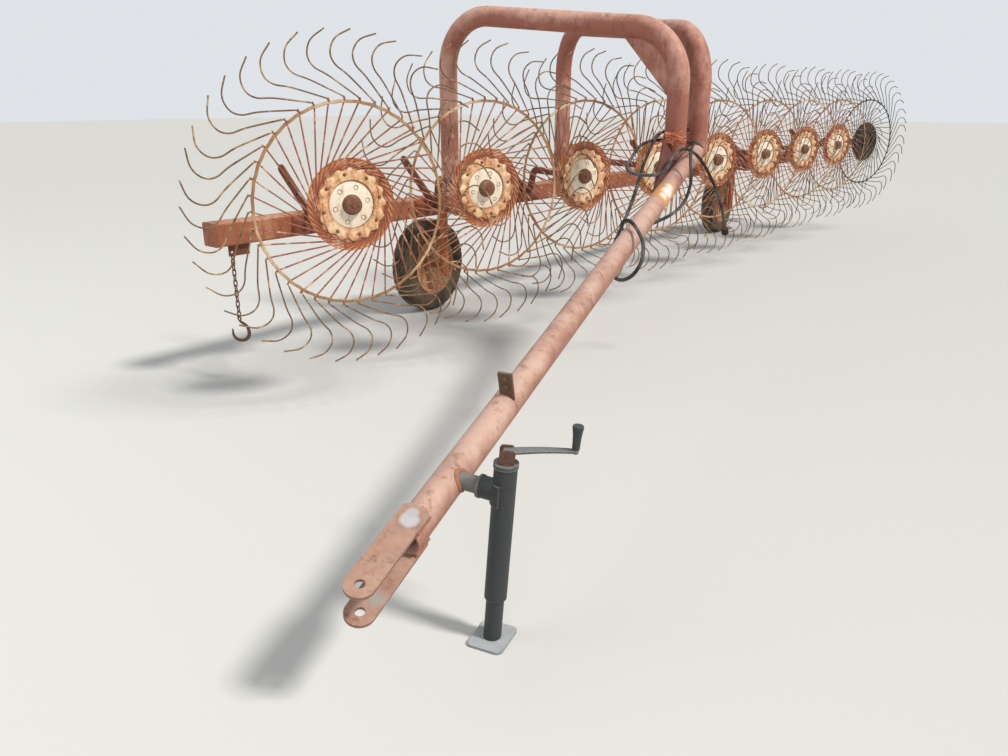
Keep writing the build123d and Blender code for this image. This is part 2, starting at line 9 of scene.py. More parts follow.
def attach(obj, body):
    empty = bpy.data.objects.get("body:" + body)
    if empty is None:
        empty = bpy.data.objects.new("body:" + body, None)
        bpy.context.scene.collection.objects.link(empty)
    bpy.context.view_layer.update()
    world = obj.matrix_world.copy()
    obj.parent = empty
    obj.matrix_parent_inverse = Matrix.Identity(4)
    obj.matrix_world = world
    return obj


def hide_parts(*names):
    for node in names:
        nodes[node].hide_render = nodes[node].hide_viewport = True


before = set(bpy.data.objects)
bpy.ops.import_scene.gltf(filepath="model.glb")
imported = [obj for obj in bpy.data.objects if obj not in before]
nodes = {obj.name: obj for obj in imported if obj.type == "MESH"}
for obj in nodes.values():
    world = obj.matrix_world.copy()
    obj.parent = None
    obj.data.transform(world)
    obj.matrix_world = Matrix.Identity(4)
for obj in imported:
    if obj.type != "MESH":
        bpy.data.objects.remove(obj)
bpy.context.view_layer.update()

# Places and sizes in metres, in the frame's own directions
GROUND_Z = -0.365
TONGUE_BEARING = radians(15.1)
TONGUE_RISE = radians(13.9)
TONGUE_RADIUS = 0.046
HUB_X = -1.604
HUB_Z = 0.640
FIRST_HUB_Y = 1.361
WHEEL_PITCH = 0.917
WHEEL_COUNT = 9
WHEEL_SKEW = radians(19)
TINE_COUNT = 40
TINE_WIRE = 0.0036
ELBOW_RADIUS = 0.456
BAND_RADIUS = 0.4405
TINE_ROOT = (0.162, 60)
CLIP_RADIUS = 0.452
BEAM_X = -2.454
BEAM_Z = 0.443
BEAM_HALF = 0.060
TYRE_RADIUS = 0.325
TYRE_WIDTH = 0.165
STUB_AXLE = 0.036
LEG_HALF = 0.030
WHEEL_HEADING = radians(6)
GROUND_WHEEL_X = -2.839
GROUND_WHEELS = (("front", 3.061), ("rear", 7.731))
ARCH_RADIUS = 0.05715
ARCH_BEND = 0.285
ARCH_FRONT_TOP = 1.427
ARCH_REAR_TOP = 1.585
# x and y of each arch's front leg, and y where its rear leg lands on the beam
ARCHES = ((-0.894, 3.006, 2.895), (-0.870, 3.206, 4.127))

TONGUE_LEVEL = Vector((-sin(TONGUE_BEARING), cos(TONGUE_BEARING), 0))
TONGUE_ACROSS = Vector((cos(TONGUE_BEARING), sin(TONGUE_BEARING), 0))
TONGUE_AXIS = TONGUE_LEVEL * cos(TONGUE_RISE) + Vector((0, 0, sin(TONGUE_RISE)))
TONGUE_UP = Vector((0, 0, cos(TONGUE_RISE))) - TONGUE_LEVEL * sin(TONGUE_RISE)


def beside_tongue(along, beside, height):
    """A place by its run along the tongue's level direction, level across it to its right, and height."""
    return TONGUE_LEVEL * along + TONGUE_ACROSS * beside + Vector((0, 0, height))


def turns(count):
    """Equal steps of angle round a circle."""
    return [2 * pi * step / count for step in range(count)]


def spoke(angle, radius=1.0, height=0.0):
    return Vector((radius * cos(angle), radius * sin(angle), height))


def upright(height):
    return Vector((0, 0, height))


def place_object(name, data):
    """A new object in the scene's collection."""
    made = bpy.data.objects.new(name, data)
    bpy.context.scene.collection.objects.link(made)
    return made


def linear(red, green, blue):
    """A colour as it looks on screen, 0 to 255, as the linear colour that shaders take."""
    values = []
    for part in (red, green, blue):
        part = part / 255
        values.append(part / 12.92 if part <= 0.04045 else ((part + 0.055) / 1.055) ** 2.4)
    return (*values, 1.0)


# Materials

ROUGH_RUST = 0.86
ROUGH_PAINT = 0.42


class Shader:
    """One node material with short calls for the nodes it uses."""

    def __init__(self, name):
        self.material = bpy.data.materials.new(name)
        self.material.use_nodes = True
        self.tree = self.material.node_tree
        self.tree.nodes.clear()
        self.surface = self.node("BsdfPrincipled")
        output = self.node("OutputMaterial")
        self.link(self.surface.outputs[0], output.inputs[0])
        self.place = self.node("TexCoord").outputs["Object"]
        self.normal = self.node("NewGeometry").outputs["Normal"]

    def node(self, kind, **values):
        made = self.tree.nodes.new("ShaderNode" + kind)
        for name, value in values.items():
            setattr(made, name, value)
        return made

    def link(self, start, end):
        self.tree.links.new(start, end)

    def noise(self, scale, detail=6, rough=0.6, stretch=None, seed=0.0):
        place = self.place
        if stretch or seed:
            mapping = self.node("Mapping")
            mapping.inputs["Scale"].default_value = stretch or (1, 1, 1)
            mapping.inputs["Location"].default_value = (seed, seed * 1.7, seed * 0.6)
            self.link(place, mapping.inputs[0])
            place = mapping.outputs[0]
        texture = self.node("TexNoise")
        texture.inputs["Scale"].default_value = scale
        texture.inputs["Detail"].default_value = detail
        texture.inputs["Roughness"].default_value = rough
        self.link(place, texture.inputs["Vector"])
        return texture.outputs["Fac"]

    def ramp(self, value, low, high):
        made = self.node("MapRange")
        made.inputs["From Min"].default_value = low
        made.inputs["From Max"].default_value = high
        self.link(value, made.inputs["Value"])
        return made.outputs[0]

    def maths(self, operation, first, second):
        made = self.node("Math", operation=operation)
        for socket, value in zip(made.inputs, (first, second)):
            if isinstance(value, (int, float)):
                socket.default_value = value
            else:
                self.link(value, socket)
        return made.outputs[0]

    def plus(self, first, second):
        return self.maths("ADD", first, second)

    def times(self, first, second):
        return self.maths("MULTIPLY", first, second)

    def mix(self, factor, first, second):
        made = self.node("Mix", data_type="RGBA")
        for socket, value in ((made.inputs[0], factor), (made.inputs[6], first), (made.inputs[7], second)):
            if isinstance(value, (tuple, float, int)):
                socket.default_value = value
            else:
                self.link(value, socket)
        return made.outputs[2]

    def upward(self):
        split = self.node("SeparateXYZ")
        self.link(self.normal, split.inputs[0])
        return split.outputs["Z"]

    def edges(self, radius):
        bevel = self.node("Bevel", samples=4)
        bevel.inputs["Radius"].default_value = radius
        dot = self.node("VectorMath", operation="DOT_PRODUCT")
        self.link(bevel.outputs[0], dot.inputs[0])
        self.link(self.normal, dot.inputs[1])
        return self.ramp(dot.outputs["Value"], 0.97, 0.80)

    def within(self, centre, reach, soft):
        """1 near a place, 0 away from it, with a ragged edge."""
        offset = self.node("VectorMath", operation="DISTANCE")
        self.link(self.place, offset.inputs[0])
        offset.inputs[1].default_value = centre
        ragged = self.times(self.noise(22, 5), soft)
        return self.ramp(self.plus(offset.outputs["Value"], ragged), reach + soft, reach)

    def finish(self, colour, rough, bump, strength=0.4, depth=0.002, metal=0.0, specular=0.3, bevel=None):
        if isinstance(colour, tuple):
            self.surface.inputs["Base Color"].default_value = colour
        else:
            self.link(colour, self.surface.inputs["Base Color"])
        if isinstance(rough, float):
            self.surface.inputs["Roughness"].default_value = rough
        else:
            self.link(rough, self.surface.inputs["Roughness"])
        self.surface.inputs["Metallic"].default_value = metal
        self.surface.inputs["Specular IOR Level"].default_value = specular
        relief = self.node("Bump")
        relief.inputs["Strength"].default_value = strength
        relief.inputs["Distance"].default_value = depth
        self.link(bump, relief.inputs["Height"])
        if bevel:
            rounded = self.node("Bevel", samples=4)
            rounded.inputs["Radius"].default_value = bevel
            self.link(rounded.outputs[0], relief.inputs["Normal"])
        self.link(relief.outputs[0], self.surface.inputs["Normal"])
        return self.material


def worn_paint(
    name, paint, faded_and_lit, rust, dark, rust_share=0.45, fade_and_highlight_share=0.5, bare=None, patches=(), seed=0.0,
    bevel=0.002, scale=1.0,
):
    """Old paint: fading in blotches, lighter on top and darker underneath as painted light from above, rust
    in blotches and along the edges, dark stains and small chips.
    """
    paint, faded_and_lit, rust, dark = (linear(*colour) for colour in (paint, faded_and_lit, rust, dark))
    shader = Shader(name)
    blotch = shader.noise(3.1 * scale, 8, 0.62, seed=seed + 1.3)
    grain = shader.noise(46 * scale, 9, 0.7, seed=seed + 4.1)
    speck = shader.noise(170 * scale, 4, 0.6, seed=seed + 7.7)
    streak = shader.noise(9 * scale, 7, 0.6, stretch=(3.0, 3.0, 0.7), seed=seed + 2.2)
    # painted highlight and shade: faces turned up lean to the lighter colour, faces turned down keep the
    # darker paint
    top = shader.ramp(shader.upward(), -0.4, 0.9)
    fade_and_highlight_value = shader.plus(shader.times(top, 0.35), shader.plus(blotch, shader.times(grain, 0.3)))
    fade_and_highlight_mask = shader.ramp(fade_and_highlight_value, 1.05 - fade_and_highlight_share * 0.5, 1.25 - fade_and_highlight_share * 0.35)
    colour = shader.mix(fade_and_highlight_mask, paint, faded_and_lit)
    edge = shader.edges(bevel * 2.2)
    rust_value = shader.plus(
        shader.times(streak, 0.55), shader.plus(shader.times(grain, 0.5), shader.times(edge, 0.16))
    )
    threshold = 0.66 - rust_share * 0.26
    rust_mask = shader.ramp(rust_value, threshold - 0.02, threshold + 0.15)
    colour = shader.mix(rust_mask, colour, rust)
    dark_mask = shader.ramp(shader.plus(shader.times(speck, 0.5), shader.times(streak, 0.6)), 0.60, 0.78)
    colour = shader.mix(shader.times(dark_mask, 0.6), colour, dark)
    if bare:
        chips = shader.noise(60 * scale, 6, 0.75, seed=seed + 9.0)
        bare_mask = shader.ramp(shader.plus(shader.times(edge, 0.30), chips), 0.66, 0.72)
        colour = shader.mix(shader.times(bare_mask, 0.8), colour, linear(*bare))
    for centre, reach, soft, patch in patches:
        colour = shader.mix(shader.within(centre, reach, soft), colour, linear(*patch))
    smooth = shader.ramp(shader.plus(rust_mask, grain), 1.9, 0.0)
    rough = shader.node("MapRange")
    rough.inputs["To Min"].default_value = ROUGH_RUST
    rough.inputs["To Max"].default_value = ROUGH_PAINT
    shader.link(smooth, rough.inputs["Value"])
    height = shader.plus(grain, shader.plus(shader.times(speck, 0.4), rust_mask))
    return shader.finish(colour, rough.outputs[0], height, strength=0.35, depth=0.0016, bevel=bevel)


def rusty_wire(name, main, light, dark, seed=0.0):
    """Spring wire with old colour in patches along it; the lighter patches are partly painted highlights."""
    main, light, dark = (linear(*colour) for colour in (main, light, dark))
    shader = Shader(name)
    patch = shader.noise(14, 7, 0.7, seed=seed)
    grain = shader.noise(150, 4, 0.6, seed=seed + 3)
    colour = shader.mix(shader.ramp(patch, 0.52, 0.62), main, light)
    colour = shader.mix(shader.ramp(shader.noise(23, 6, 0.7, seed=seed + 8), 0.54, 0.64), colour, dark)
    rough = shader.ramp(grain, -0.6, 1.2)
    return shader.finish(colour, rough, grain, strength=0.3, depth=0.0006)


tongue_paint = worn_paint(
    "tongue_paint", (156, 110, 94), (202, 168, 152), (146, 94, 74), (104, 70, 58),
    rust_share=0.30, fade_and_highlight_share=0.62, bare=(206, 182, 166),
    patches=(
        ((-0.631, 2.488, 0.672), 0.105, 0.05, (206, 150, 98)),
        ((-0.618, 2.500, 0.690), 0.046, 0.025, (238, 234, 224)),
        ((-0.610, 2.440, 0.672), 0.030, 0.020, (238, 234, 224)),
        ((-0.648, 2.552, 0.700), 0.026, 0.020, (232, 226, 212)),
        ((-0.560, 2.330, 0.640), 0.012, 0.05, (206, 170, 120)),
    ),
)
arch_paint = worn_paint(
    "arch_paint", (156, 98, 82), (214, 168, 150), (136, 82, 66), (84, 52, 44),
    rust_share=0.32, fade_and_highlight_share=0.62, bare=(196, 162, 146), seed=3.0,
)
# painted shade: the web plate is coloured a dark brown because it faces away from the light
web_shaded_paint = worn_paint(
    "web_shaded_paint", (98, 54, 48), (128, 82, 72), (88, 46, 38), (50, 30, 28),
    rust_share=0.40, fade_and_highlight_share=0.3, seed=6.0,
)
ear_paint = worn_paint(
    "ear_paint", (144, 104, 88), (184, 150, 132), (130, 84, 66), (82, 60, 50),
    rust_share=0.38, fade_and_highlight_share=0.5, bare=(170, 158, 148), seed=9.0,
    patches=(
        ((-0.040, 0.200, 0.106), 0.024, 0.010, (186, 184, 184)),
        ((-0.050, 0.222, 0.112), 0.016, 0.008, (178, 176, 178)),
        ((-0.016, 0.057, -0.034), 0.020, 0.030, (158, 152, 146)),
        ((0.020, 0.235, 0.078), 0.010, 0.040, (176, 92, 56)),
    ),
)
beam_paint = worn_paint(
    "beam_paint", (150, 92, 66), (192, 142, 108), (128, 72, 48), (80, 48, 36),
    rust_share=0.5, fade_and_highlight_share=0.42, seed=12.0,
)
arm_paint = worn_paint(
    "arm_paint", (108, 62, 44), (148, 94, 70), (102, 56, 40), (60, 38, 32),
    rust_share=0.55, fade_and_highlight_share=0.35, seed=15.0,
)
leg_paint = worn_paint(
    "leg_paint", (178, 100, 62), (206, 148, 106), (150, 78, 46), (78, 48, 38),
    rust_share=0.5, fade_and_highlight_share=0.4, seed=18.0,
)
rim_paint = worn_paint(
    "rim_paint", (186, 134, 98), (216, 182, 150), (146, 82, 52), (84, 56, 42),
    rust_share=0.5, fade_and_highlight_share=0.45, seed=21.0,
)
jack_paint = worn_paint(
    "jack_paint", (56, 60, 60), (86, 90, 88), (92, 66, 52), (30, 30, 30),
    rust_share=0.02, fade_and_highlight_share=0.4, bare=(130, 130, 126), seed=24.0,
)
crank_paint = worn_paint(
    "crank_paint", (76, 80, 80), (122, 126, 124), (116, 84, 66), (56, 56, 56),
    rust_share=0.10, fade_and_highlight_share=0.6, bare=(178, 176, 170), seed=25.0,
)
fork_paint = worn_paint(
    "fork_paint", (86, 74, 68), (120, 106, 98), (116, 66, 50), (50, 42, 40),
    rust_share=0.6, fade_and_highlight_share=0.3, seed=26.0, scale=2.0,
)
foot_metal = worn_paint(
    "foot_metal", (138, 144, 148), (178, 182, 184), (136, 112, 92), (104, 100, 96),
    rust_share=0.16, fade_and_highlight_share=0.5, seed=27.0,
)
# painted shade: the hose bracket is coloured a darker brown for its shaded face
bracket_shaded_paint = worn_paint(
    "bracket_shaded_paint", (98, 78, 64), (132, 114, 98), (112, 72, 52), (56, 44, 38),
    rust_share=0.45, fade_and_highlight_share=0.4, seed=29.0,
)
stub_paint = worn_paint(
    "stub_paint", (108, 106, 104), (138, 136, 132), (124, 88, 68), (46, 44, 42),
    rust_share=0.15, fade_and_highlight_share=0.4, seed=28.0,
)
iron = worn_paint(
    "iron", (100, 72, 58), (136, 106, 88), (112, 68, 48), (50, 38, 34),
    rust_share=0.5, fade_and_highlight_share=0.3, seed=30.0,
)
plate_paint = worn_paint(
    "plate_paint", (196, 136, 88), (232, 206, 168), (160, 84, 48), (104, 58, 40),
    rust_share=0.60, fade_and_highlight_share=0.5, seed=33.0, scale=1.3,
)
disc_paint = worn_paint(
    "disc_paint", (232, 218, 196), (242, 234, 218), (196, 138, 94), (128, 92, 70),
    rust_share=0.30, fade_and_highlight_share=0.6, seed=34.0, scale=1.6,
)
clamp_paint = worn_paint(
    "clamp_paint", (224, 188, 146), (238, 220, 192), (182, 100, 56), (100, 58, 42),
    rust_share=0.62, fade_and_highlight_share=0.55, seed=36.0, scale=1.5, bevel=0.003,
)
band_paint = worn_paint(
    "band_paint", (160, 122, 84), (228, 208, 172), (134, 84, 54), (86, 60, 44),
    rust_share=0.46, fade_and_highlight_share=0.60, seed=39.0, scale=1.4,
)
cap_paint = worn_paint(
    "cap_paint", (118, 84, 66), (156, 126, 104), (122, 70, 48), (56, 40, 34),
    rust_share=0.55, fade_and_highlight_share=0.35, seed=42.0, scale=2.0,
)
black_paint = worn_paint(
    "black_paint", (48, 44, 42), (80, 72, 66), (84, 56, 44), (24, 22, 22),
    rust_share=0.22, fade_and_highlight_share=0.35, seed=45.0,
)
# the inner tines' pinkish lighter colour is partly painted highlight
tine_inner = rusty_wire("tine_inner", (150, 88, 68), (210, 166, 146), (92, 56, 44), seed=2.0)
tine_outer = rusty_wire("tine_outer", (116, 90, 62), (184, 150, 112), (66, 50, 38), seed=5.0)
tine_black = rusty_wire("tine_black", (72, 60, 50), (120, 96, 76), (36, 30, 28), seed=8.0)


def make_rubber(name, base, dust_and_sheen_colour, dust_and_sheen_share):
    """Old rubber with fine cracks, and lighter patches: a dusting, which on the hose is partly painted sheen.
    """
    shader = Shader(name)
    grain = shader.noise(120, 6, 0.7)
    cracks = shader.noise(34, 9, 0.75, seed=2.0)
    dust_and_sheen = shader.ramp(shader.noise(7, 6, 0.65, seed=5.0), 0.62 - dust_and_sheen_share * 0.3, 0.72)
    colour = shader.mix(shader.ramp(cracks, 0.35, 0.7), linear(*base), linear(58, 54, 50))
    colour = shader.mix(shader.times(dust_and_sheen, 0.75), colour, linear(*dust_and_sheen_colour))
    height = shader.plus(grain, cracks)
    return shader.finish(colour, 0.82, height, strength=0.4, depth=0.0012, specular=0.25)


tyre_rubber = make_rubber("tyre_rubber", (46, 43, 41), (150, 126, 102), 0.95)
# the hose's light grey patches are partly a dusting and partly painted sheen along its strands
hose_rubber = make_rubber("hose_rubber", (36, 36, 37), (136, 134, 130), 0.60)


def grainy(name, first, second, rough, grain, ramp, depth):
    """Two colours mixed by a fine grain, which is also its relief."""
    shader = Shader(name)
    height = shader.noise(*grain)
    colour = shader.mix(shader.ramp(height, *ramp), linear(*first), linear(*second))
    return shader.finish(colour, rough, height, strength=0.5, depth=depth)


twine_fibre = grainy(
    "twine_fibre", (202, 116, 84), (228, 160, 126), 0.75, (300, 4, 0.6, (1, 1, 3)), (0.4, 0.65), 0.0006
)
weld_metal = grainy("weld_metal", (120, 72, 56), (84, 56, 46), 0.6, (90, 6, 0.65), (0.4, 0.6), 0.0015)
rusty_weld = worn_paint(
    "rusty_weld", (162, 108, 82), (194, 144, 116), (142, 84, 58), (84, 56, 44),
    rust_share=0.5, fade_and_highlight_share=0.4, seed=48.0, scale=3.0,
)


def coat(name, material):
    """Gives a frame node its finish."""
    for holder in nodes[name].material_slots:
        holder.material = material
    if not nodes[name].material_slots:
        nodes[name].data.materials.append(material)


# Mesh helpers

class Build:
    """Gathers vertices and faces of one mesh piece, with a material for each face."""

    def __init__(self):
        self.verts = []
        self.faces = []
        self.kinds = []
        self.materials = []

    def kind(self, material):
        if material not in self.materials:
            self.materials.append(material)
        return self.materials.index(material)

    def add(self, verts, faces, material):
        base = len(self.verts)
        self.verts.extend(verts)
        index = self.kind(material)
        for face in faces:
            self.faces.append([base + corner for corner in face])
            self.kinds.append(index)

    def loops(self, rings, material, close_ring=True, close_ends=False, closed_path=False):
        """Skins a list of rings that have equal numbers of points."""
        count = len(rings[0])
        verts = [point for ring in rings for point in ring]
        faces = []
        steps = len(rings) if closed_path else len(rings) - 1
        for row in range(steps):
            after = (row + 1) % len(rings)
            for column in range(count if close_ring else count - 1):
                beside = (column + 1) % count
                here, there = row * count, after * count
                faces.append((here + column, here + beside, there + beside, there + column))
        if close_ends:
            faces.append(tuple(reversed(range(count))))
            faces.append(tuple((len(rings) - 1) * count + column for column in range(count)))
        self.add(verts, faces, material)

    def tube(self, points, radius, material, sides=6, closed=False, radii=None):
        """A round bar along points, with its own radius at each point where radii are given."""
        rings = []
        total = len(points)
        side = None
        for index, point in enumerate(points):
            before = points[index - 1] if index or closed else point
            after = points[(index + 1) % total] if index < total - 1 or closed else point
            along = (after - before).normalized()
            if side is None:
                side = along.orthogonal().normalized()
            side = (side - along * side.dot(along)).normalized()
            other = along.cross(side)
            size = radii[index] if radii else radius
            rings.append([
                point + side * (size * cos(angle)) + other * (size * sin(angle)) for angle in turns(sides)
            ])
        self.loops(rings, material, close_ends=not closed, closed_path=closed)

    def lathe(self, profile, matrix, material, steps=48):
        """Turns (radius, height) points round the matrix's Z axis."""
        rings = []
        for radius, height in profile:
            rings.append([matrix @ spoke(angle, radius, height) for angle in turns(steps)])
        self.loops(rings, material)

    def piece(self, name, smooth_angle=40):
        mesh = bpy.data.meshes.new(name)
        mesh.from_pydata([tuple(point) for point in self.verts], [], self.faces)
        for material in self.materials:
            mesh.materials.append(material)
        mesh.polygons.foreach_set("material_index", self.kinds)
        mesh.validate()
        made = place_object(name, mesh)
        mesh.shade_smooth()
        bpy.context.view_layer.objects.active = made
        made.select_set(True)
        bpy.ops.object.shade_smooth_by_angle(angle=radians(smooth_angle))
        made.select_set(False)
        return made


def mount(build, name, body, replaced=None, smooth_angle=40):
    """Makes the piece and says its body and the frame's node that it replaces."""
    piece = build.piece(name, smooth_angle)
    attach(piece, body)
    if replaced:
        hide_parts(replaced)
    return piece


def axes(origin, x_dir, z_dir):
    """A matrix whose X and Z run along these directions."""
    z_dir = z_dir.normalized()
    x_dir = (x_dir - z_dir * x_dir.dot(z_dir)).normalized()
    y_dir = z_dir.cross(x_dir)
    return Matrix.Translation(origin) @ Matrix((x_dir, y_dir, z_dir)).transposed().to_4x4()


def curve_through(points, steps):
    """A smooth line through all the points."""
    padded = [points[0] * 2 - points[1]] + list(points) + [points[-1] * 2 - points[-2]]
    line = []
    for index in range(1, len(padded) - 2):
        before, start, end, after = padded[index - 1:index + 3]
        for step in range(steps):
            share = step / steps
            line.append(0.5 * (
                2 * start + (end - before) * share + (2 * before - 5 * start + 4 * end - after) * share ** 2
                + (3 * start - before - 3 * end + after) * share ** 3
            ))
    line.append(points[-1])
    return line


def hexagon_bolt(build, matrix, across, height, material):
    """A bolt's head with a chamfered top, standing on the matrix's Z plane."""
    rings = []
    for radius, level in ((across / 2, 0), (across / 2, height * 0.8), (across * 0.42, height)):
        rings.append([matrix @ spoke(angle, radius, level) for angle in turns(6)])
    build.loops(rings, material, close_ends=True)


def weld_bead(build, points, radius, material, closed=True, seed=1):
    """A run of weld with small ripples."""
    maker = random.Random(seed)
    radii = [radius * (0.85 + 0.3 * maker.random()) for point in points]
    build.tube(points, radius, material, sides=6, closed=closed, radii=radii)


# Camera at the photograph's place

CAMERA_PLACE = (1.257, -0.981, 1.088)
CAMERA_TILT = radians(70.66)
CAMERA_TURN = radians(40.0)
CAMERA_LENS = 28.371
camera_data = bpy.data.cameras.new("camera")
camera_data.sensor_width = 36.0
camera_data.lens = CAMERA_LENS
camera_data.clip_end = 300
camera = place_object("camera", camera_data)
camera.location = CAMERA_PLACE
camera.rotation_euler = Euler((CAMERA_TILT, 0, CAMERA_TURN))
bpy.context.scene.camera = camera

# Hose: from its inlet on the far leg forward on the tongue's left, once round the tongue and back on its
# right, round behind the near leg, over the tongue, and down to the coupler that hangs free

HOSE_RADIUS = 0.008
INLET_BEARING = radians(50)
INLET_AXIS = TONGUE_LEVEL * cos(INLET_BEARING) + TONGUE_ACROSS * sin(INLET_BEARING)
INLET_REACH = 0.034
FAR_LEG_INLET = Vector((ARCHES[1][0], ARCHES[1][1], 0.925))
HOSE_END = FAR_LEG_INLET - INLET_AXIS * (ARCH_RADIUS + INLET_REACH)
# along the tongue's level direction, level across it to its right, and height
HOSE_ROUTE = (
    (3.168, -0.160, 0.920), (3.085, -0.166, 0.902), (2.985, -0.160, 0.872), (2.885, -0.152, 0.832),
    (2.786, -0.144, 0.788), (2.690, -0.136, 0.736), (2.605, -0.128, 0.680), (2.515, -0.122, 0.622),
    (2.425, -0.116, 0.575), (2.330, -0.108, 0.536), (2.235, -0.100, 0.504), (2.140, -0.090, 0.468),
    (2.066, -0.080, 0.434), (1.996, -0.058, 0.402), (1.930, -0.022, 0.378), (1.886, 0.030, 0.372),
    (1.872, 0.084, 0.402), (1.898, 0.112, 0.462), (1.956, 0.098, 0.522), (2.014, 0.058, 0.560),
    (2.072, 0.012, 0.590), (2.128, -0.034, 0.592), (2.184, -0.070, 0.566), (2.240, -0.086, 0.532),
    (2.300, -0.080, 0.510), (2.364, -0.056, 0.510), (2.430, -0.022, 0.524), (2.500, 0.022, 0.542),
    (2.574, 0.056, 0.560), (2.650, 0.080, 0.586), (2.720, 0.093, 0.622), (2.772, 0.096, 0.668),
    (2.804, 0.094, 0.718), (2.816, 0.084, 0.768), (2.832, 0.075, 0.820), (2.876, 0.070, 0.868),
    (2.950, 0.068, 0.882), (3.040, 0.068, 0.874), (3.130, 0.054, 0.866), (3.204, 0.014, 0.866),
    (3.240, -0.050, 0.870), (3.222, -0.120, 0.876), (3.155, -0.172, 0.880), (3.062, -0.196, 0.878),
    (2.965, -0.206, 0.868), (2.876, -0.206, 0.852), (2.792, -0.200, 0.832), (2.710, -0.194, 0.806),
    (2.636, -0.196, 0.780), (2.574, -0.166, 0.758), (2.544, -0.108, 0.746), (2.562, -0.044, 0.744),
    (2.620, -0.006, 0.752), (2.700, -0.002, 0.772), (2.840, -0.026, 0.802), (2.912, -0.014, 0.826),
    (2.984, -0.002, 0.846), (3.034, 0.018, 0.842), (3.066, 0.054, 0.816), (3.072, 0.092, 0.774),
    (3.066, 0.122, 0.730), (3.080, 0.148, 0.680), (3.112, 0.170, 0.622), (3.156, 0.186, 0.560),
    (3.204, 0.195, 0.500), (3.246, 0.198, 0.444),
)
hose_points = [HOSE_END, HOSE_END - INLET_AXIS * 0.066] + [beside_tongue(*place) for place in HOSE_ROUTE]
hose_curve = bpy.data.curves.new("hose", "CURVE")
hose_curve.dimensions = "3D"
hose_line = hose_curve.splines.new("NURBS")
hose_line.points.add(len(hose_points) - 1)
for knot, point in zip(hose_line.points, hose_points):
    knot.co = (*point, 1.0)
hose_line.order_u = 3
hose_line.use_endpoint_u = True
hose_line.resolution_u = 8
hose_curve.bevel_depth = HOSE_RADIUS
hose_curve.bevel_resolution = 5
hose_curve.use_fill_caps = True
hose_curve.materials.append(hose_rubber)
hose = place_object("hose", hose_curve)
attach(hose, "frame")

coupler = Build()
coupler_end = hose_points[-1]
coupler_place = axes(coupler_end, TONGUE_LEVEL, coupler_end - hose_points[-2])
coupler.lathe(
    ((0.0001, -0.004), (0.0095, -0.004), (0.0110, -0.001), (0.0110, 0.004), (0.0100, 0.006), (0.0110, 0.008),
     (0.0110, 0.014), (0.0100, 0.016), (0.0110, 0.018), (0.0108, 0.030), (0.0001, 0.030)),
    coupler_place, iron, steps=28,
)
hexagon_bolt(coupler, coupler_place @ Matrix.Translation((0, 0, 0.030)), 0.030, 0.016, iron)
coupler.lathe(
    ((0.0001, 0.044), (0.0150, 0.044), (0.0195, 0.048), (0.0200, 0.052), (0.0200, 0.062), (0.0185, 0.064),
     (0.0185, 0.070), (0.0200, 0.072), (0.0198, 0.077), (0.0160, 0.080), (0.0001, 0.080)),
    coupler_place, hose_rubber, steps=36,
)
cap_strap = []
for step in range(10):
    angle = pi * step / 9
    spot = Vector((0.026 * cos(angle) + 0.006, 0.030 * sin(angle), 0.074 - 0.050 * step / 9))
    cap_strap.append(coupler_place @ spot)
coupler.tube(cap_strap, 0.0024, hose_rubber, sides=8)
coupler_piece = mount(coupler, "hose_coupler", "frame")

inlet = Build()
inlet_place = axes(HOSE_END, upright(1), INLET_AXIS)
inlet.lathe(
    ((0.0001, -0.003), (0.0095, -0.003), (0.0110, 0.0), (0.0110, 0.010), (0.0001, 0.010)),
    inlet_place, iron, steps=28,
)
hexagon_bolt(inlet, inlet_place @ Matrix.Translation((0, 0, 0.008)), 0.030, 0.015, iron)
inlet.lathe(((0.0001, 0.022), (0.0150, 0.022), (0.0150, 0.038), (0.0001, 0.038)), inlet_place, iron, steps=28)
mount(inlet, "hose_inlet", "frame")

# Rake wheels

WHEEL_NORMAL = Vector((cos(WHEEL_SKEW), -sin(WHEEL_SKEW), 0))
WHEEL_SIDE = Vector((sin(WHEEL_SKEW), cos(WHEEL_SKEW), 0))
PLATE_FACE = -0.001
STUD_COUNT = 6
STUD_CIRCLE = 0.079
SCALLOP_COUNT = 16
SCALLOP_DEPTH = 0.0064
SCALLOP_RISE = 0.0034
CLAMP_BOLTS = 8
CLAMP_BOLT_CIRCLE = 0.136
# along one tine beyond the elbow: radius, and degrees ahead of the elbow
OUTER_TINE = ((0.545, 16.0), (0.591, 22.0), (0.641, 23.4), (0.694, 21.0), (0.731, 15.6))
OUTER_REACH = 0.28


def polar(radius, degrees, height=0.0):
    return spoke(radians(degrees), radius, height)


def tine_line(maker):
    """The middle line of one tine, in the wheel's own plane."""
    root = polar(*TINE_ROOT)
    elbow = polar(ELBOW_RADIUS + maker.uniform(-0.002, 0.002), maker.uniform(-0.5, 0.5))
    bend = 0.016
    inner = elbow + (root - elbow).normalized() * bend
    first_outer = polar(*OUTER_TINE[0])
    outer = elbow + (first_outer - elbow).normalized() * bend
    corner = [
        inner.lerp(elbow, share).lerp(elbow.lerp(outer, share), share) for share in (0, 0.25, 0.5, 0.75, 1)
    ]
    swing = maker.uniform(-1.2, 1.2)
    sway = maker.uniform(-0.007, 0.007)
    tip_points = []
    for radius, degrees in OUTER_TINE:
        reach = (radius - ELBOW_RADIUS) / OUTER_REACH
        tip_points.append(polar(radius, degrees + swing * reach, sway * reach ** 2))
    outside = curve_through([corner[-1]] + tip_points, 4)
    middle = [root.lerp(inner, share) for share in (0, 0.33, 0.66)]
    return middle + corner, outside


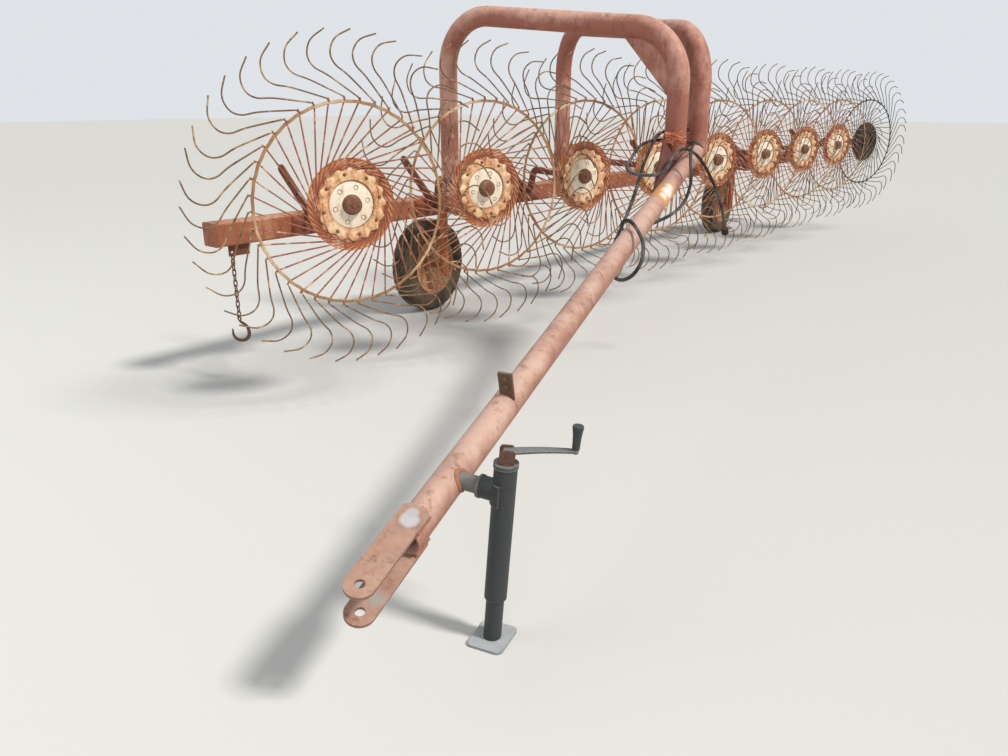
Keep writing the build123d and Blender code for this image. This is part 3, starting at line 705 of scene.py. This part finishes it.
def rake_wheel(number, centre):
    maker = random.Random(40 + number)
    dark_wheel = number == 9
    inner_wire, outer_wire = (tine_black, tine_black) if dark_wheel else (tine_inner, tine_outer)
    plate, disc, clamp, band, cap = (
        (black_paint,) * 5 if dark_wheel else (plate_paint, disc_paint, clamp_paint, band_paint, cap_paint)
    )
    place = axes(centre, WHEEL_SIDE, WHEEL_NORMAL)
    build = Build()
    for index in range(TINE_COUNT):
        turn = Matrix.Rotation(2 * pi * index / TINE_COUNT, 4, "Z")
        inside, outside = tine_line(maker)
        build.tube([place @ turn @ point for point in inside], TINE_WIRE, inner_wire, sides=6)
        build.tube([place @ turn @ point for point in outside], TINE_WIRE, outer_wire, sides=6)
        # the clip that holds the tine to the band
        clip = [
            polar(CLIP_RADIUS + 0.0095 * cos(angle), 0.4, 0.0015 + 0.0075 * sin(angle)) for angle in turns(8)
        ]
        build.tube([place @ turn @ point for point in clip], 0.0022, band, sides=4, closed=True)
    # rim band, a flat strip that twists a little along its length
    rings = []
    steps = 160
    twist_phase = maker.uniform(0, 2 * pi)
    for step in range(steps):
        angle = 2 * pi * step / steps
        tilt = radians(12) * sin(angle * 2 + twist_phase) + radians(5) * sin(angle * 9 + twist_phase)
        wave = 0.0012 * sin(angle * TINE_COUNT)
        out = spoke(angle)
        width = out * cos(tilt) + upright(sin(tilt))
        thick = upright(cos(tilt)) - out * sin(tilt)
        middle = out * (BAND_RADIUS + wave) + upright(0.0052)
        rings.append([
            place @ (middle + width * (0.0068 * side) + thick * (0.0016 * face))
            for side, face in ((-1, -1), (1, -1), (1, 1), (-1, 1))
        ])
    build.loops(rings, band, closed_path=True)
    # hub: barrel and back plate with a rolled edge
    build.lathe(
        ((0.0201, -0.052), (0.040, -0.052), (0.040, -0.010), (0.044, -0.006), (0.199, -0.006),
         (0.205, -0.004), (0.206, 0.001), (0.203, 0.003), (0.199, PLATE_FACE), (0.176, PLATE_FACE),
         (0.118, PLATE_FACE - 0.0005)),
        place, plate, steps=96,
    )
    # inner disc, slightly dished, with six sunk studs
    build.lathe(
        ((0.106, -0.004), (0.104, -0.001), (0.100, 0.0012), (0.060, 0.0030), (0.042, 0.0060), (0.038, 0.010)),
        place, disc, steps=72,
    )
    for index in range(STUD_COUNT):
        spot = place @ Matrix.Translation(polar(STUD_CIRCLE, 360 / STUD_COUNT * index + 12, 0.0022))
        build.lathe(
            ((0.0105, 0.0), (0.0108, 0.0012), (0.0092, 0.0014), (0.0088, -0.0006), (0.0001, -0.0010)),
            spot, iron, steps=20,
        )
    # clamp ring, scalloped and pressed: radius, height and how much of the scallops shows there
    steps = 160
    rings = []
    for radius, height, share in (
        (0.1075, -0.002, 0), (0.108, 0.0065, 0), (0.111, 0.0085, 0), (0.116, 0.0070, 0.1),
        (0.121, 0.0088, 0.2), (0.134, 0.0092, 0.9), (0.146, 0.0082, 1.2), (0.155, 0.0068, 1),
        (0.1575, 0.0050, 1), (0.1565, 0.0030, 1),
    ):
        ring = []
        for step in range(steps):
            wave = cos(SCALLOP_COUNT * 2 * pi * step / steps) * share
            lobe = radius + SCALLOP_DEPTH * wave
            ring.append(place @ polar(lobe, 360 * step / steps, height + SCALLOP_RISE * wave))
        rings.append(ring)
    build.loops(rings, clamp)
    for index in range(CLAMP_BOLTS):
        degrees = 360 / CLAMP_BOLTS * (index + 0.25)
        spot = place @ Matrix.Translation(polar(CLAMP_BOLT_CIRCLE, degrees, 0.0066))
        head = ((0.0075, 0.0), (0.0072, 0.0028), (0.0054, 0.0044), (0.0001, 0.0050))
        build.lathe(head, spot, cap, steps=16)
    # cap with its pin
    build.lathe(
        ((0.046, 0.004), (0.0455, 0.010), (0.0415, 0.012), (0.0405, 0.028), (0.037, 0.034), (0.028, 0.0375),
         (0.0001, 0.0385)),
        place, cap, steps=48,
    )
    build.lathe(((0.012, 0.037), (0.0118, 0.0415), (0.0001, 0.042)), place, cap, steps=16)
    pin = [place @ Vector((-0.022, 0.004, 0.0385)), place @ Vector((0.022, -0.003, 0.0385))]
    build.tube(pin, 0.0032, iron, sides=6)
    name = f"rake_wheel_{number}"
    mount(build, f"{name}_dressed", name, name)


for number in range(1, WHEEL_COUNT + 1):
    rake_wheel(number, Vector((HUB_X, FIRST_HUB_Y + WHEEL_PITCH * (number - 1), HUB_Z)))

# Ground wheels

WHEEL_OFFSET = TYRE_WIDTH / 2 + STUB_AXLE + LEG_HALF
LEG_X = GROUND_WHEEL_X + WHEEL_OFFSET
AXLE_Z = GROUND_Z + TYRE_RADIUS


def ground_wheel(name, leg_y):
    out = Vector((-cos(WHEEL_HEADING), -sin(WHEEL_HEADING), 0))
    centre = Vector((LEG_X, leg_y, AXLE_Z)) + out * WHEEL_OFFSET
    place = axes(centre, upright(1), out)
    tyre = Build()
    steps = 144
    lug_count = 36
    half = TYRE_WIDTH / 2
    # radius, place across, and how much of the tread's lugs show there
    profile = (
        (0.2095, -0.0577, 0), (0.222, -0.068, 0), (0.236, -0.0770, 0), (0.252, -0.0815, 0),
        (0.262, -half, 0), (0.272, -0.0818, 0), (0.288, -0.0790, 0.3), (0.302, -0.0755, 1),
        (0.3125, -0.0700, 1), (0.3205, -0.0560, 1), (0.3235, -0.0420, 1), (0.3165, -0.0395, 0),
        (0.3165, -0.0335, 0), (0.3242, -0.0310, 1), (0.3250, -0.0170, 1), (0.3175, -0.0140, 0),
        (0.3175, -0.0080, 0), (0.3250, -0.0060, 0),
    )
    profile += tuple((radius, -across, share) for radius, across, share in reversed(profile))
    profile += ((0.1975, 0.0570, 0), (0.1975, -0.0570, 0))
    rings = []
    for radius, across, share in profile:
        ring = []
        for step in range(steps):
            in_groove = (step + round(abs(across) * 60)) % (steps // lug_count) == 0
            size = radius - (0.0062 * share if in_groove else 0)
            ring.append(place @ polar(size, 360 * step / steps, across))
        rings.append(ring)
    tyre.loops(rings, tyre_rubber, closed_path=True)
    for side in (-1, 1):
        for radius, across in ((0.231, 0.0738), (0.246, 0.0800)):
            circle = [place @ polar(radius, 5 * step, side * across) for step in range(72)]
            tyre.tube(circle, 0.0014, tyre_rubber, sides=4, closed=True)
    mount(tyre, f"tyre_{name}_dressed", f"ground_wheel_{name}", f"tyre_{name}", smooth_angle=32)
    coat(f"ground_rim_{name}", rim_paint)
    bolts = Build()
    for index in range(5):
        spot = place @ Matrix.Translation(polar(0.072, 72 * index, 0.0035))
        hexagon_bolt(bolts, spot, 0.021, 0.013, iron)
    cap_place = place @ Matrix.Translation(upright(0.044))
    bolts.lathe(((0.034, 0.0), (0.033, 0.010), (0.026, 0.016), (0.0001, 0.018)), cap_place, iron, steps=32)
    mount(bolts, f"wheel_bolts_{name}", f"ground_wheel_{name}")


for wheel_name, wheel_y in GROUND_WHEELS:
    ground_wheel(wheel_name, wheel_y)

# The web at the near leg's foot, where the frame's solid stands too far right, and the gussets' inner edges,
# which the solids stop short of

WEB_CORNERS = ((2.594, -0.040, 0.667), (3.092, -0.043, 0.783), (3.106, -0.128, 0.930))
WEB_HALF = 0.005
web = Build()
web_points = [beside_tongue(*corner) for corner in WEB_CORNERS]
web_normal = (web_points[1] - web_points[0]).cross(web_points[2] - web_points[0]).normalized()
web_faces = ((0, 1, 2), (5, 4, 3), (0, 3, 4, 1), (1, 4, 5, 2), (2, 5, 3, 0))
web.add(
    [point + web_normal * half for half in (WEB_HALF, -WEB_HALF) for point in web_points],
    [tuple(reversed(face)) for face in web_faces], web_shaded_paint,
)
web_foot = [web_points[0].lerp(web_points[1], step / 24) + web_normal * 0.008 for step in range(25)]
weld_bead(web, web_foot, 0.0055, weld_metal, closed=False, seed=3)
web_foot_under = [point - web_normal * 0.016 for point in web_foot]
weld_bead(web, web_foot_under, 0.0055, weld_metal, closed=False, seed=4)
mount(web, "foot_web_dressed", "frame", "foot_web")

GUSSET_HALF = 0.0047
GUSSET_REACH = 0.335
# the CAD gusset's inner edge, by its distance from the leg's axis and its height
GUSSET_EDGE = ((0.054, 1.142), (0.1425, 1.3131), (0.285, 1.3762))


def gusset(name, leg_x, leg_y, landing_y):
    """Fills a gusset out to the pipe's bend, with a weld along both faces."""
    towards_beam = Vector((BEAM_X - leg_x, landing_y - leg_y, 0))
    reach = towards_beam.length
    level = towards_beam.normalized()
    normal = level.cross(upright(1))
    slope = (ARCH_REAR_TOP - ARCH_FRONT_TOP) / reach
    turn = pi / 2 - atan(slope)
    bend_start = ARCH_FRONT_TOP - ARCH_BEND * tan(turn / 2)
    inside = ARCH_BEND - ARCH_RADIUS
    top_edge = (GUSSET_REACH, ARCH_FRONT_TOP + slope * GUSSET_REACH - ARCH_RADIUS + 0.003)
    edge = curve_points(GUSSET_EDGE + (top_edge,), 8)

    def at(across, height, side=0.0):
        return Vector((leg_x, leg_y, height)) + level * across + normal * side

    build = Build()
    count = len(edge)
    rings = []
    for index, (across, height) in enumerate(edge):
        angle = turn * index / (count - 1)
        bend = (ARCH_BEND - (inside + 0.003) * cos(angle), bend_start + (inside + 0.003) * sin(angle))
        back = Vector((ARCH_BEND - across, bend_start - height)).normalized() * 0.006
        rings.append([
            at(*bend, GUSSET_HALF), at(across + back.x, height + back.y, GUSSET_HALF),
            at(across + back.x, height + back.y, -GUSSET_HALF), at(*bend, -GUSSET_HALF),
        ])
    build.loops(rings, arch_paint, close_ends=True)
    for side in (-1, 1):
        line = [
            at(ARCH_BEND - inside * cos(angle), bend_start + inside * sin(angle), side * 0.007)
            for angle in [turn * step / 40 for step in range(41)]
        ]
        weld_bead(build, line, 0.0045, arch_paint, closed=False, seed=5)
    mount(build, name, "frame")


def curve_points(corners, steps):
    """Points spread along straight runs between corners."""
    line = [corners[0]]
    for start, end in zip(corners, corners[1:]):
        for step in range(1, steps + 1):
            share = step / steps
            line.append((start[0] + (end[0] - start[0]) * share, start[1] + (end[1] - start[1]) * share))
    return line


for gusset_name, arch in zip(("gusset_near_fill", "gusset_far_fill"), ARCHES):
    gusset(gusset_name, *arch)

# Welds: ears on the tongue, legs on the tongue, pads on the beam, and the jack's stub

EAR_ROLL = radians(13)
EAR_HALF = 0.0345
EAR_HEIGHT = 0.0395
EAR_WELD_START = 0.203
EAR_WELD_RUN = 0.066
PAD_THICK = 0.012
WELD_GAP = 0.002
LEG_WELD = 0.005
PAD_WELD = 0.0055
PIN_AXIS = TONGUE_UP * cos(EAR_ROLL) + TONGUE_ACROSS * sin(EAR_ROLL)
EAR_SIDE = TONGUE_AXIS.cross(PIN_AXIS)
welds = Build()
for side in (-1, 1):
    for face in (-1, 1):
        bead = [
            EAR_SIDE * (EAR_HALF * side) + PIN_AXIS * (EAR_HEIGHT * face)
            + TONGUE_AXIS * (EAR_WELD_START + EAR_WELD_RUN * step / 18)
            for step in range(19)
        ]
        weld_bead(welds, bead, 0.0062, rusty_weld, closed=False, seed=11 + side + face)
for leg_x, leg_y, landing_y in ARCHES:
    foot = Vector((leg_x, leg_y, 0))
    bead = []
    for step in range(73):
        angle = 2 * pi * step / 72
        spot = foot + spoke(angle) * (ARCH_RADIUS + WELD_GAP)
        beside = spot.dot(TONGUE_ACROSS)
        if abs(beside) < TONGUE_RADIUS - 0.003:
            climb = spot.dot(TONGUE_LEVEL) * tan(TONGUE_RISE)
            height = climb + sqrt(TONGUE_RADIUS ** 2 - beside ** 2) / cos(TONGUE_RISE)
            bead.append(Vector((spot.x, spot.y, height + WELD_GAP)))
        else:
            if len(bead) > 3:
                weld_bead(welds, bead, LEG_WELD, weld_metal, closed=False, seed=21)
            bead = []
    if len(bead) > 3:
        weld_bead(welds, bead, LEG_WELD, weld_metal, closed=False, seed=22)
for leg_x, leg_y, landing_y in ARCHES:
    landing = Vector((BEAM_X, landing_y, BEAM_Z + BEAM_HALF + PAD_THICK))
    ring = [landing + spoke(angle) * (ARCH_RADIUS + WELD_GAP) for angle in turns(60)]
    weld_bead(welds, ring, PAD_WELD, weld_metal, seed=31)
mount(welds, "frame_welds", "frame")

# Jack: its crank with a forked hub, a bowed arm and a flared grip, and the weld round its stub

JACK_LEAN = radians(4.5)
JACK_OUT = TONGUE_ACROSS * cos(JACK_LEAN) - upright(sin(JACK_LEAN))
JACK_UP = TONGUE_ACROSS * sin(JACK_LEAN) + upright(cos(JACK_LEAN))
JACK_ALONG = 0.431
JACK_BESIDE = 0.166
JACK_PIVOT = beside_tongue(JACK_ALONG, JACK_BESIDE, JACK_ALONG * tan(TONGUE_RISE))
CRANK_REACH = 0.176
CRANK_RISE = 0.090
CRANK_TURN = radians(24)
CHEEK_SIDE = 0.018
CHEEK_CORNERS = (
    (-0.020, 0.004), (0.020, 0.004), (0.022, 0.034), (0.014, 0.042), (-0.014, 0.042), (-0.020, 0.034)
)
crank_out = Matrix.Rotation(CRANK_TURN, 3, JACK_UP) @ JACK_OUT
crank_place = axes(JACK_PIVOT + JACK_UP * CRANK_RISE, crank_out, JACK_UP)
crank = Build()
crank.lathe(
    ((0.0001, 0.0), (0.0230, 0.0), (0.0230, 0.004), (0.0150, 0.006), (0.0150, 0.024), (0.0120, 0.026),
     (0.0001, 0.026)),
    crank_place, fork_paint, steps=36,
)
for side in (-1, 1):
    inner, outer = (
        [crank_place @ Vector((across, side * beside, height)) for across, height in CHEEK_CORNERS]
        for beside in (CHEEK_SIDE - 0.004, CHEEK_SIDE + 0.002)
    )
    crank.loops([inner, outer] if side > 0 else [outer, inner], fork_paint, close_ends=True)
crank_pin = [crank_place @ Vector((0.002, side * 0.023, 0.030)) for side in (-1, 1)]
crank.tube(crank_pin, 0.005, iron, sides=12)
arm_rings = []
for step in range(17):
    share = step / 16
    across = -0.010 + (CRANK_REACH + 0.016) * share
    bow = 0.030 + 0.016 * share + 0.004 * sin(pi * share)
    half = 0.0185 - 0.0085 * share
    thick = 0.0050 - 0.0012 * share
    arm_rings.append([
        crank_place @ Vector((across, half * y, bow + thick * z))
        for y, z in ((-1, -0.6), (-0.8, -1), (0.8, -1), (1, -0.6), (1, 0.6), (0.8, 1), (-0.8, 1), (-1, 0.6))
    ])
crank.loops(arm_rings, crank_paint, close_ends=True)
grip_place = crank_place @ Matrix.Translation((CRANK_REACH, 0, 0.046))
crank.lathe(
    ((0.0001, -0.006), (0.0075, -0.006), (0.0085, -0.002), (0.0085, 0.003), (0.0095, 0.005), (0.0105, 0.010),
     (0.0108, 0.026), (0.0118, 0.044), (0.0136, 0.058), (0.0149, 0.065), (0.0149, 0.071),
     (0.0130, 0.0735), (0.0001, 0.074)),
    grip_place, jack_paint, steps=32,
)
mount(crank, "jack_crank_dressed", "jack", "jack_crank")

STUB_RADIUS = 0.0255
stub_weld = Build()
stub_ring = []
for angle in turns(48):
    start = JACK_PIVOT + (JACK_UP * sin(angle) + TONGUE_LEVEL * cos(angle)) * STUB_RADIUS
    # where this line along the stub meets the tongue's side
    off = start - TONGUE_AXIS * start.dot(TONGUE_AXIS)
    run = -JACK_OUT
    run_off = run - TONGUE_AXIS * run.dot(TONGUE_AXIS)
    square = run_off.dot(run_off)
    middle = 2 * off.dot(run_off)
    past = off.dot(off) - (TONGUE_RADIUS + 0.001) ** 2
    length = (-middle - sqrt(max(middle * middle - 4 * square * past, 0.0))) / (2 * square)
    stub_ring.append(start + run * length)
weld_bead(stub_weld, stub_ring, 0.0065, rusty_weld, seed=41)
mount(stub_weld, "jack_stub_weld", "frame")

# Chain of bent round links, and the hook

CHAIN_X = BEAM_X + 0.025
CHAIN_Y = 1.236
LINK_PITCH = 0.0277
LINK_BEND = 0.0084
LINK_BAR = 0.0034
LINK_COUNT = 12
LINK_HALF = 0.020
LINK_WIRE = 0.006
SEAT_GAP = 0.0003
TAB_HOLE_Z = BEAM_Z - BEAM_HALF - 0.058 + 0.018
FIRST_LINK_Z = TAB_HOLE_Z - sqrt(0.008 ** 2 - 0.003 ** 2) + SEAT_GAP + LINK_WIRE - LINK_HALF
chain = Build()
for index in range(LINK_COUNT):
    centre = Vector((CHAIN_X, CHAIN_Y, FIRST_LINK_Z - LINK_PITCH * index))
    width_way = Vector((1, 0, 0)) if index % 2 == 0 else Vector((0, 1, 0))
    outline = []
    for end in (1, -1):
        for step in range(9):
            angle = pi * step / 8
            rise = LINK_BEND * (1 + sin(angle))
            outline.append(centre + (width_way * (LINK_BEND * cos(angle)) + upright(rise)) * end)
    chain.tube(outline, LINK_BAR, iron, sides=8, closed=True)
mount(chain, "hook_chain_dressed", "frame", "hook_chain")

LAST_LINK_Z = FIRST_LINK_Z - LINK_PITCH * (LINK_COUNT - 1)
EYE_Z = LAST_LINK_Z - LINK_HALF + LINK_WIRE + SEAT_GAP - sqrt(0.009 ** 2 - 0.003 ** 2)
EYE_RADIUS = 0.0130
hook = Build()
eye_centre = Vector((CHAIN_X, CHAIN_Y, EYE_Z))
eye = [eye_centre + Vector((cos(angle), 0, sin(angle))) * EYE_RADIUS for angle in turns(28)]
hook.tube(eye, 0.0040, iron, sides=8, closed=True)
bend = (
    (0.000, -0.014), (0.008, -0.021), (0.022, -0.032), (0.032, -0.047), (0.035, -0.066), (0.031, -0.084),
    (0.019, -0.098), (0.002, -0.103), (-0.016, -0.099), (-0.029, -0.087), (-0.034, -0.071), (-0.033, -0.058),
    (-0.036, -0.050),
)
HOOK_WAY = Vector((0.77, 0.64, 0)) * 1.25
bend_line = curve_through(
    [Vector((CHAIN_X, CHAIN_Y, EYE_Z + 0.003 + drop * 1.2)) + HOOK_WAY * across for across, drop in bend], 3
)
count = len(bend_line)
sizes = []
for index in range(count):
    swell = 0.0036 * sin(pi * min(1.0, index / (count * 0.8)))
    taper = 0.0034 * max(0.0, index / count - 0.8) / 0.2
    sizes.append(0.0062 + swell - taper)
hook.tube(bend_line, 0.007, iron, sides=10, radii=sizes)
mount(hook, "hook_dressed", "frame", "hook")

# Bolts: in the levers, at the ends of the arms' pivots

bolts = Build()
PIVOT_X = BEAM_X + BEAM_HALF + 0.104
PIVOT_BEHIND_HUB = 0.320
LEVER_LENGTH = 0.400
LEVER_WAY = Vector((-sqrt(0.5), 0, sqrt(0.5)))
for index in range(WHEEL_COUNT):
    pivot = Vector((PIVOT_X, FIRST_HUB_Y + WHEEL_PITCH * index + PIVOT_BEHIND_HUB, BEAM_Z))
    for side in (-1, 1):
        way = Vector((0, side, 0))
        hexagon_bolt(bolts, axes(pivot + way * 0.0875, Vector((1, 0, 0)), way), 0.040, 0.014, iron)
        for share in (0.78, 1.0):
            top = pivot + LEVER_WAY * (LEVER_LENGTH * share) + way * 0.0062
            hexagon_bolt(bolts, axes(top, LEVER_WAY, way), 0.024, 0.011 if side < 0 else 0.016, iron)
mount(bolts, "arm_bolts", "frame")

# Orange twine that ties the hose to the near leg

TIE_HEIGHT = 0.895
KNOT_WIDTH = 0.066
KNOT_HEIGHT = 0.040
maker = random.Random(7)
twine = Build()
near_leg = Vector((ARCHES[0][0], ARCHES[0][1], 0))
for loop in range(6):
    tilt_x, tilt_y = maker.uniform(-0.25, 0.25), maker.uniform(-0.25, 0.25)
    height = TIE_HEIGHT + maker.uniform(-0.014, 0.014)
    around = []
    for angle in turns(40):
        radius = ARCH_RADIUS + 0.003 + 0.001 * sin(3 * angle + loop)
        x, y = radius * cos(angle), radius * sin(angle)
        around.append(near_leg + Vector((x, y, height + tilt_x * x + tilt_y * y)))
    twine.tube(around, 0.0016, twine_fibre, sides=5, closed=True)
knot_centre = beside_tongue(3.066, -0.074, TIE_HEIGHT)
for strand in range(9):
    spots = []
    for step in range(7):
        angle = maker.uniform(0, 2 * pi)
        size = maker.uniform(0.4, 1.0)
        spots.append(
            knot_centre + TONGUE_ACROSS * (KNOT_WIDTH * size * cos(angle))
            + upright(KNOT_HEIGHT * size * sin(angle)) - TONGUE_LEVEL * maker.uniform(0.002, 0.034)
        )
    twine.tube(curve_through(spots, 5), 0.0024, twine_fibre, sides=5)
# loose ends: how far each goes across, up and ahead of the knot
LOOSE_ENDS = ((0.075, 0.085, 0.020), (0.055, 0.040, 0.034), (-0.070, 0.030, 0.026), (0.085, 0.030, 0.010))
for across, rise, ahead in LOOSE_ENDS:
    spots = []
    for out, up, forward in ((0, 0, 0), (0.4, 0.65, 1), (0.8, 0.8, 1.3), (1, 1, 1)):
        level = TONGUE_ACROSS * (across * out) - TONGUE_LEVEL * (ahead * forward)
        spots.append(knot_centre + level + upright(rise * up))
    twine.tube(curve_through(spots, 5), 0.0016, twine_fibre, sides=5)
mount(twine, "twine_tie", "frame")

# Finishes of the frame's own nodes

NODE_FINISHES = (
    (tongue_paint, ("tongue_pipe",)),
    (ear_paint, ("clevis_ear_upper", "clevis_ear_lower")),
    (bracket_shaded_paint, ("hose_bracket",)),
    (arch_paint, ("arch_near", "arch_far", "arch_near_pad", "arch_far_pad")),
    (beam_paint, ("main_beam", "beam_cap_front", "beam_cap_rear", "pivot_brackets")),
    (leg_paint, ("wheel_sleeve_front", "wheel_sleeve_rear", "wheel_leg_front", "wheel_leg_rear")),
    (arm_paint, tuple(f"rake_arm_{number}" for number in range(1, WHEEL_COUNT + 1)) + ("chain_tab",)),
    (jack_paint, ("jack_tube", "jack_leg")),
    (crank_paint, ("jack_cap",)),
    (stub_paint, ("jack_stub",)),
    (foot_metal, ("jack_foot",)),
)
for finish, node_names in NODE_FINISHES:
    for node_name in node_names:
        coat(node_name, finish)

# Floor and light

FLOOR_REACH = 60.0
floor_mesh = bpy.data.meshes.new("floor")
floor_corners = [
    (FLOOR_REACH * x, FLOOR_REACH * y, GROUND_Z) for x, y in ((-1, -1), (1, -1), (1, 1), (-1, 1))
]
floor_mesh.from_pydata(floor_corners, [], [(0, 1, 2, 3)])
floor = place_object("floor", floor_mesh)
floor_shader = Shader("floor_paper")
floor_grain = floor_shader.noise(3, 2)
floor_mesh.materials.append(floor_shader.finish(linear(214, 214, 210), 0.9, floor_grain, strength=0.02))


def light(name, kind, place, aim, power, colour):
    """A lamp at a place, turned to what it is aimed at."""
    lamp = bpy.data.lights.new(name, kind)
    lamp.energy = power
    lamp.color = colour
    holder = place_object(name, lamp)
    if kind != "SUN":
        holder.location = place
    holder.rotation_euler = (Vector(aim) - Vector(place)).to_track_quat("-Z", "Y").to_euler()
    return lamp


def soft_light(name, place, aim, size, power, colour):
    """A round area light."""
    lamp = light(name, "AREA", place, aim, power, colour)
    lamp.shape = "DISK"
    lamp.size = size


KEY_ANGLE = radians(9)
key = light("key", "SUN", (4.8, 3.9, 7.0), (-1.2, 2.5, 0.3), 3.0, (1.0, 0.96, 0.91))
key.angle = KEY_ANGLE
soft_light("fill", (-4.5, -5.0, 5.0), (-1.4, 2.0, 0.4), 6.0, 160, (0.92, 0.96, 1.0))
soft_light("front", (3.5, -4.5, 3.5), (-0.6, 1.6, 0.3), 4.0, 80, (1.0, 0.98, 0.95))

LIT_STRENGTH = 0.42
SEEN_STRENGTH = 0.92
world = bpy.data.worlds.new("studio")
bpy.context.scene.world = world
world.use_nodes = True
backdrop = world.node_tree.nodes["Background"]
backdrop.inputs["Color"].default_value = linear(232, 236, 240)
# the backdrop is brighter where it is seen, straight or in a reflection, than where it lights the rake
light_path = world.node_tree.nodes.new("ShaderNodeLightPath")
seen_rays = None
for ray in ("Is Camera Ray", "Is Glossy Ray", "Is Transmission Ray"):
    add = world.node_tree.nodes.new("ShaderNodeMath")
    add.operation = "ADD"
    add.use_clamp = True
    world.node_tree.links.new(light_path.outputs[ray], add.inputs[0])
    add.inputs[1].default_value = 0.0
    if seen_rays:
        world.node_tree.links.new(seen_rays, add.inputs[1])
    seen_rays = add.outputs[0]
strength = world.node_tree.nodes.new("ShaderNodeMapRange")
strength.inputs["To Min"].default_value = LIT_STRENGTH
strength.inputs["To Max"].default_value = SEEN_STRENGTH
world.node_tree.links.new(seen_rays, strength.inputs["Value"])
world.node_tree.links.new(strength.outputs[0], backdrop.inputs["Strength"])

bpy.context.scene.view_settings.view_transform = "Standard"
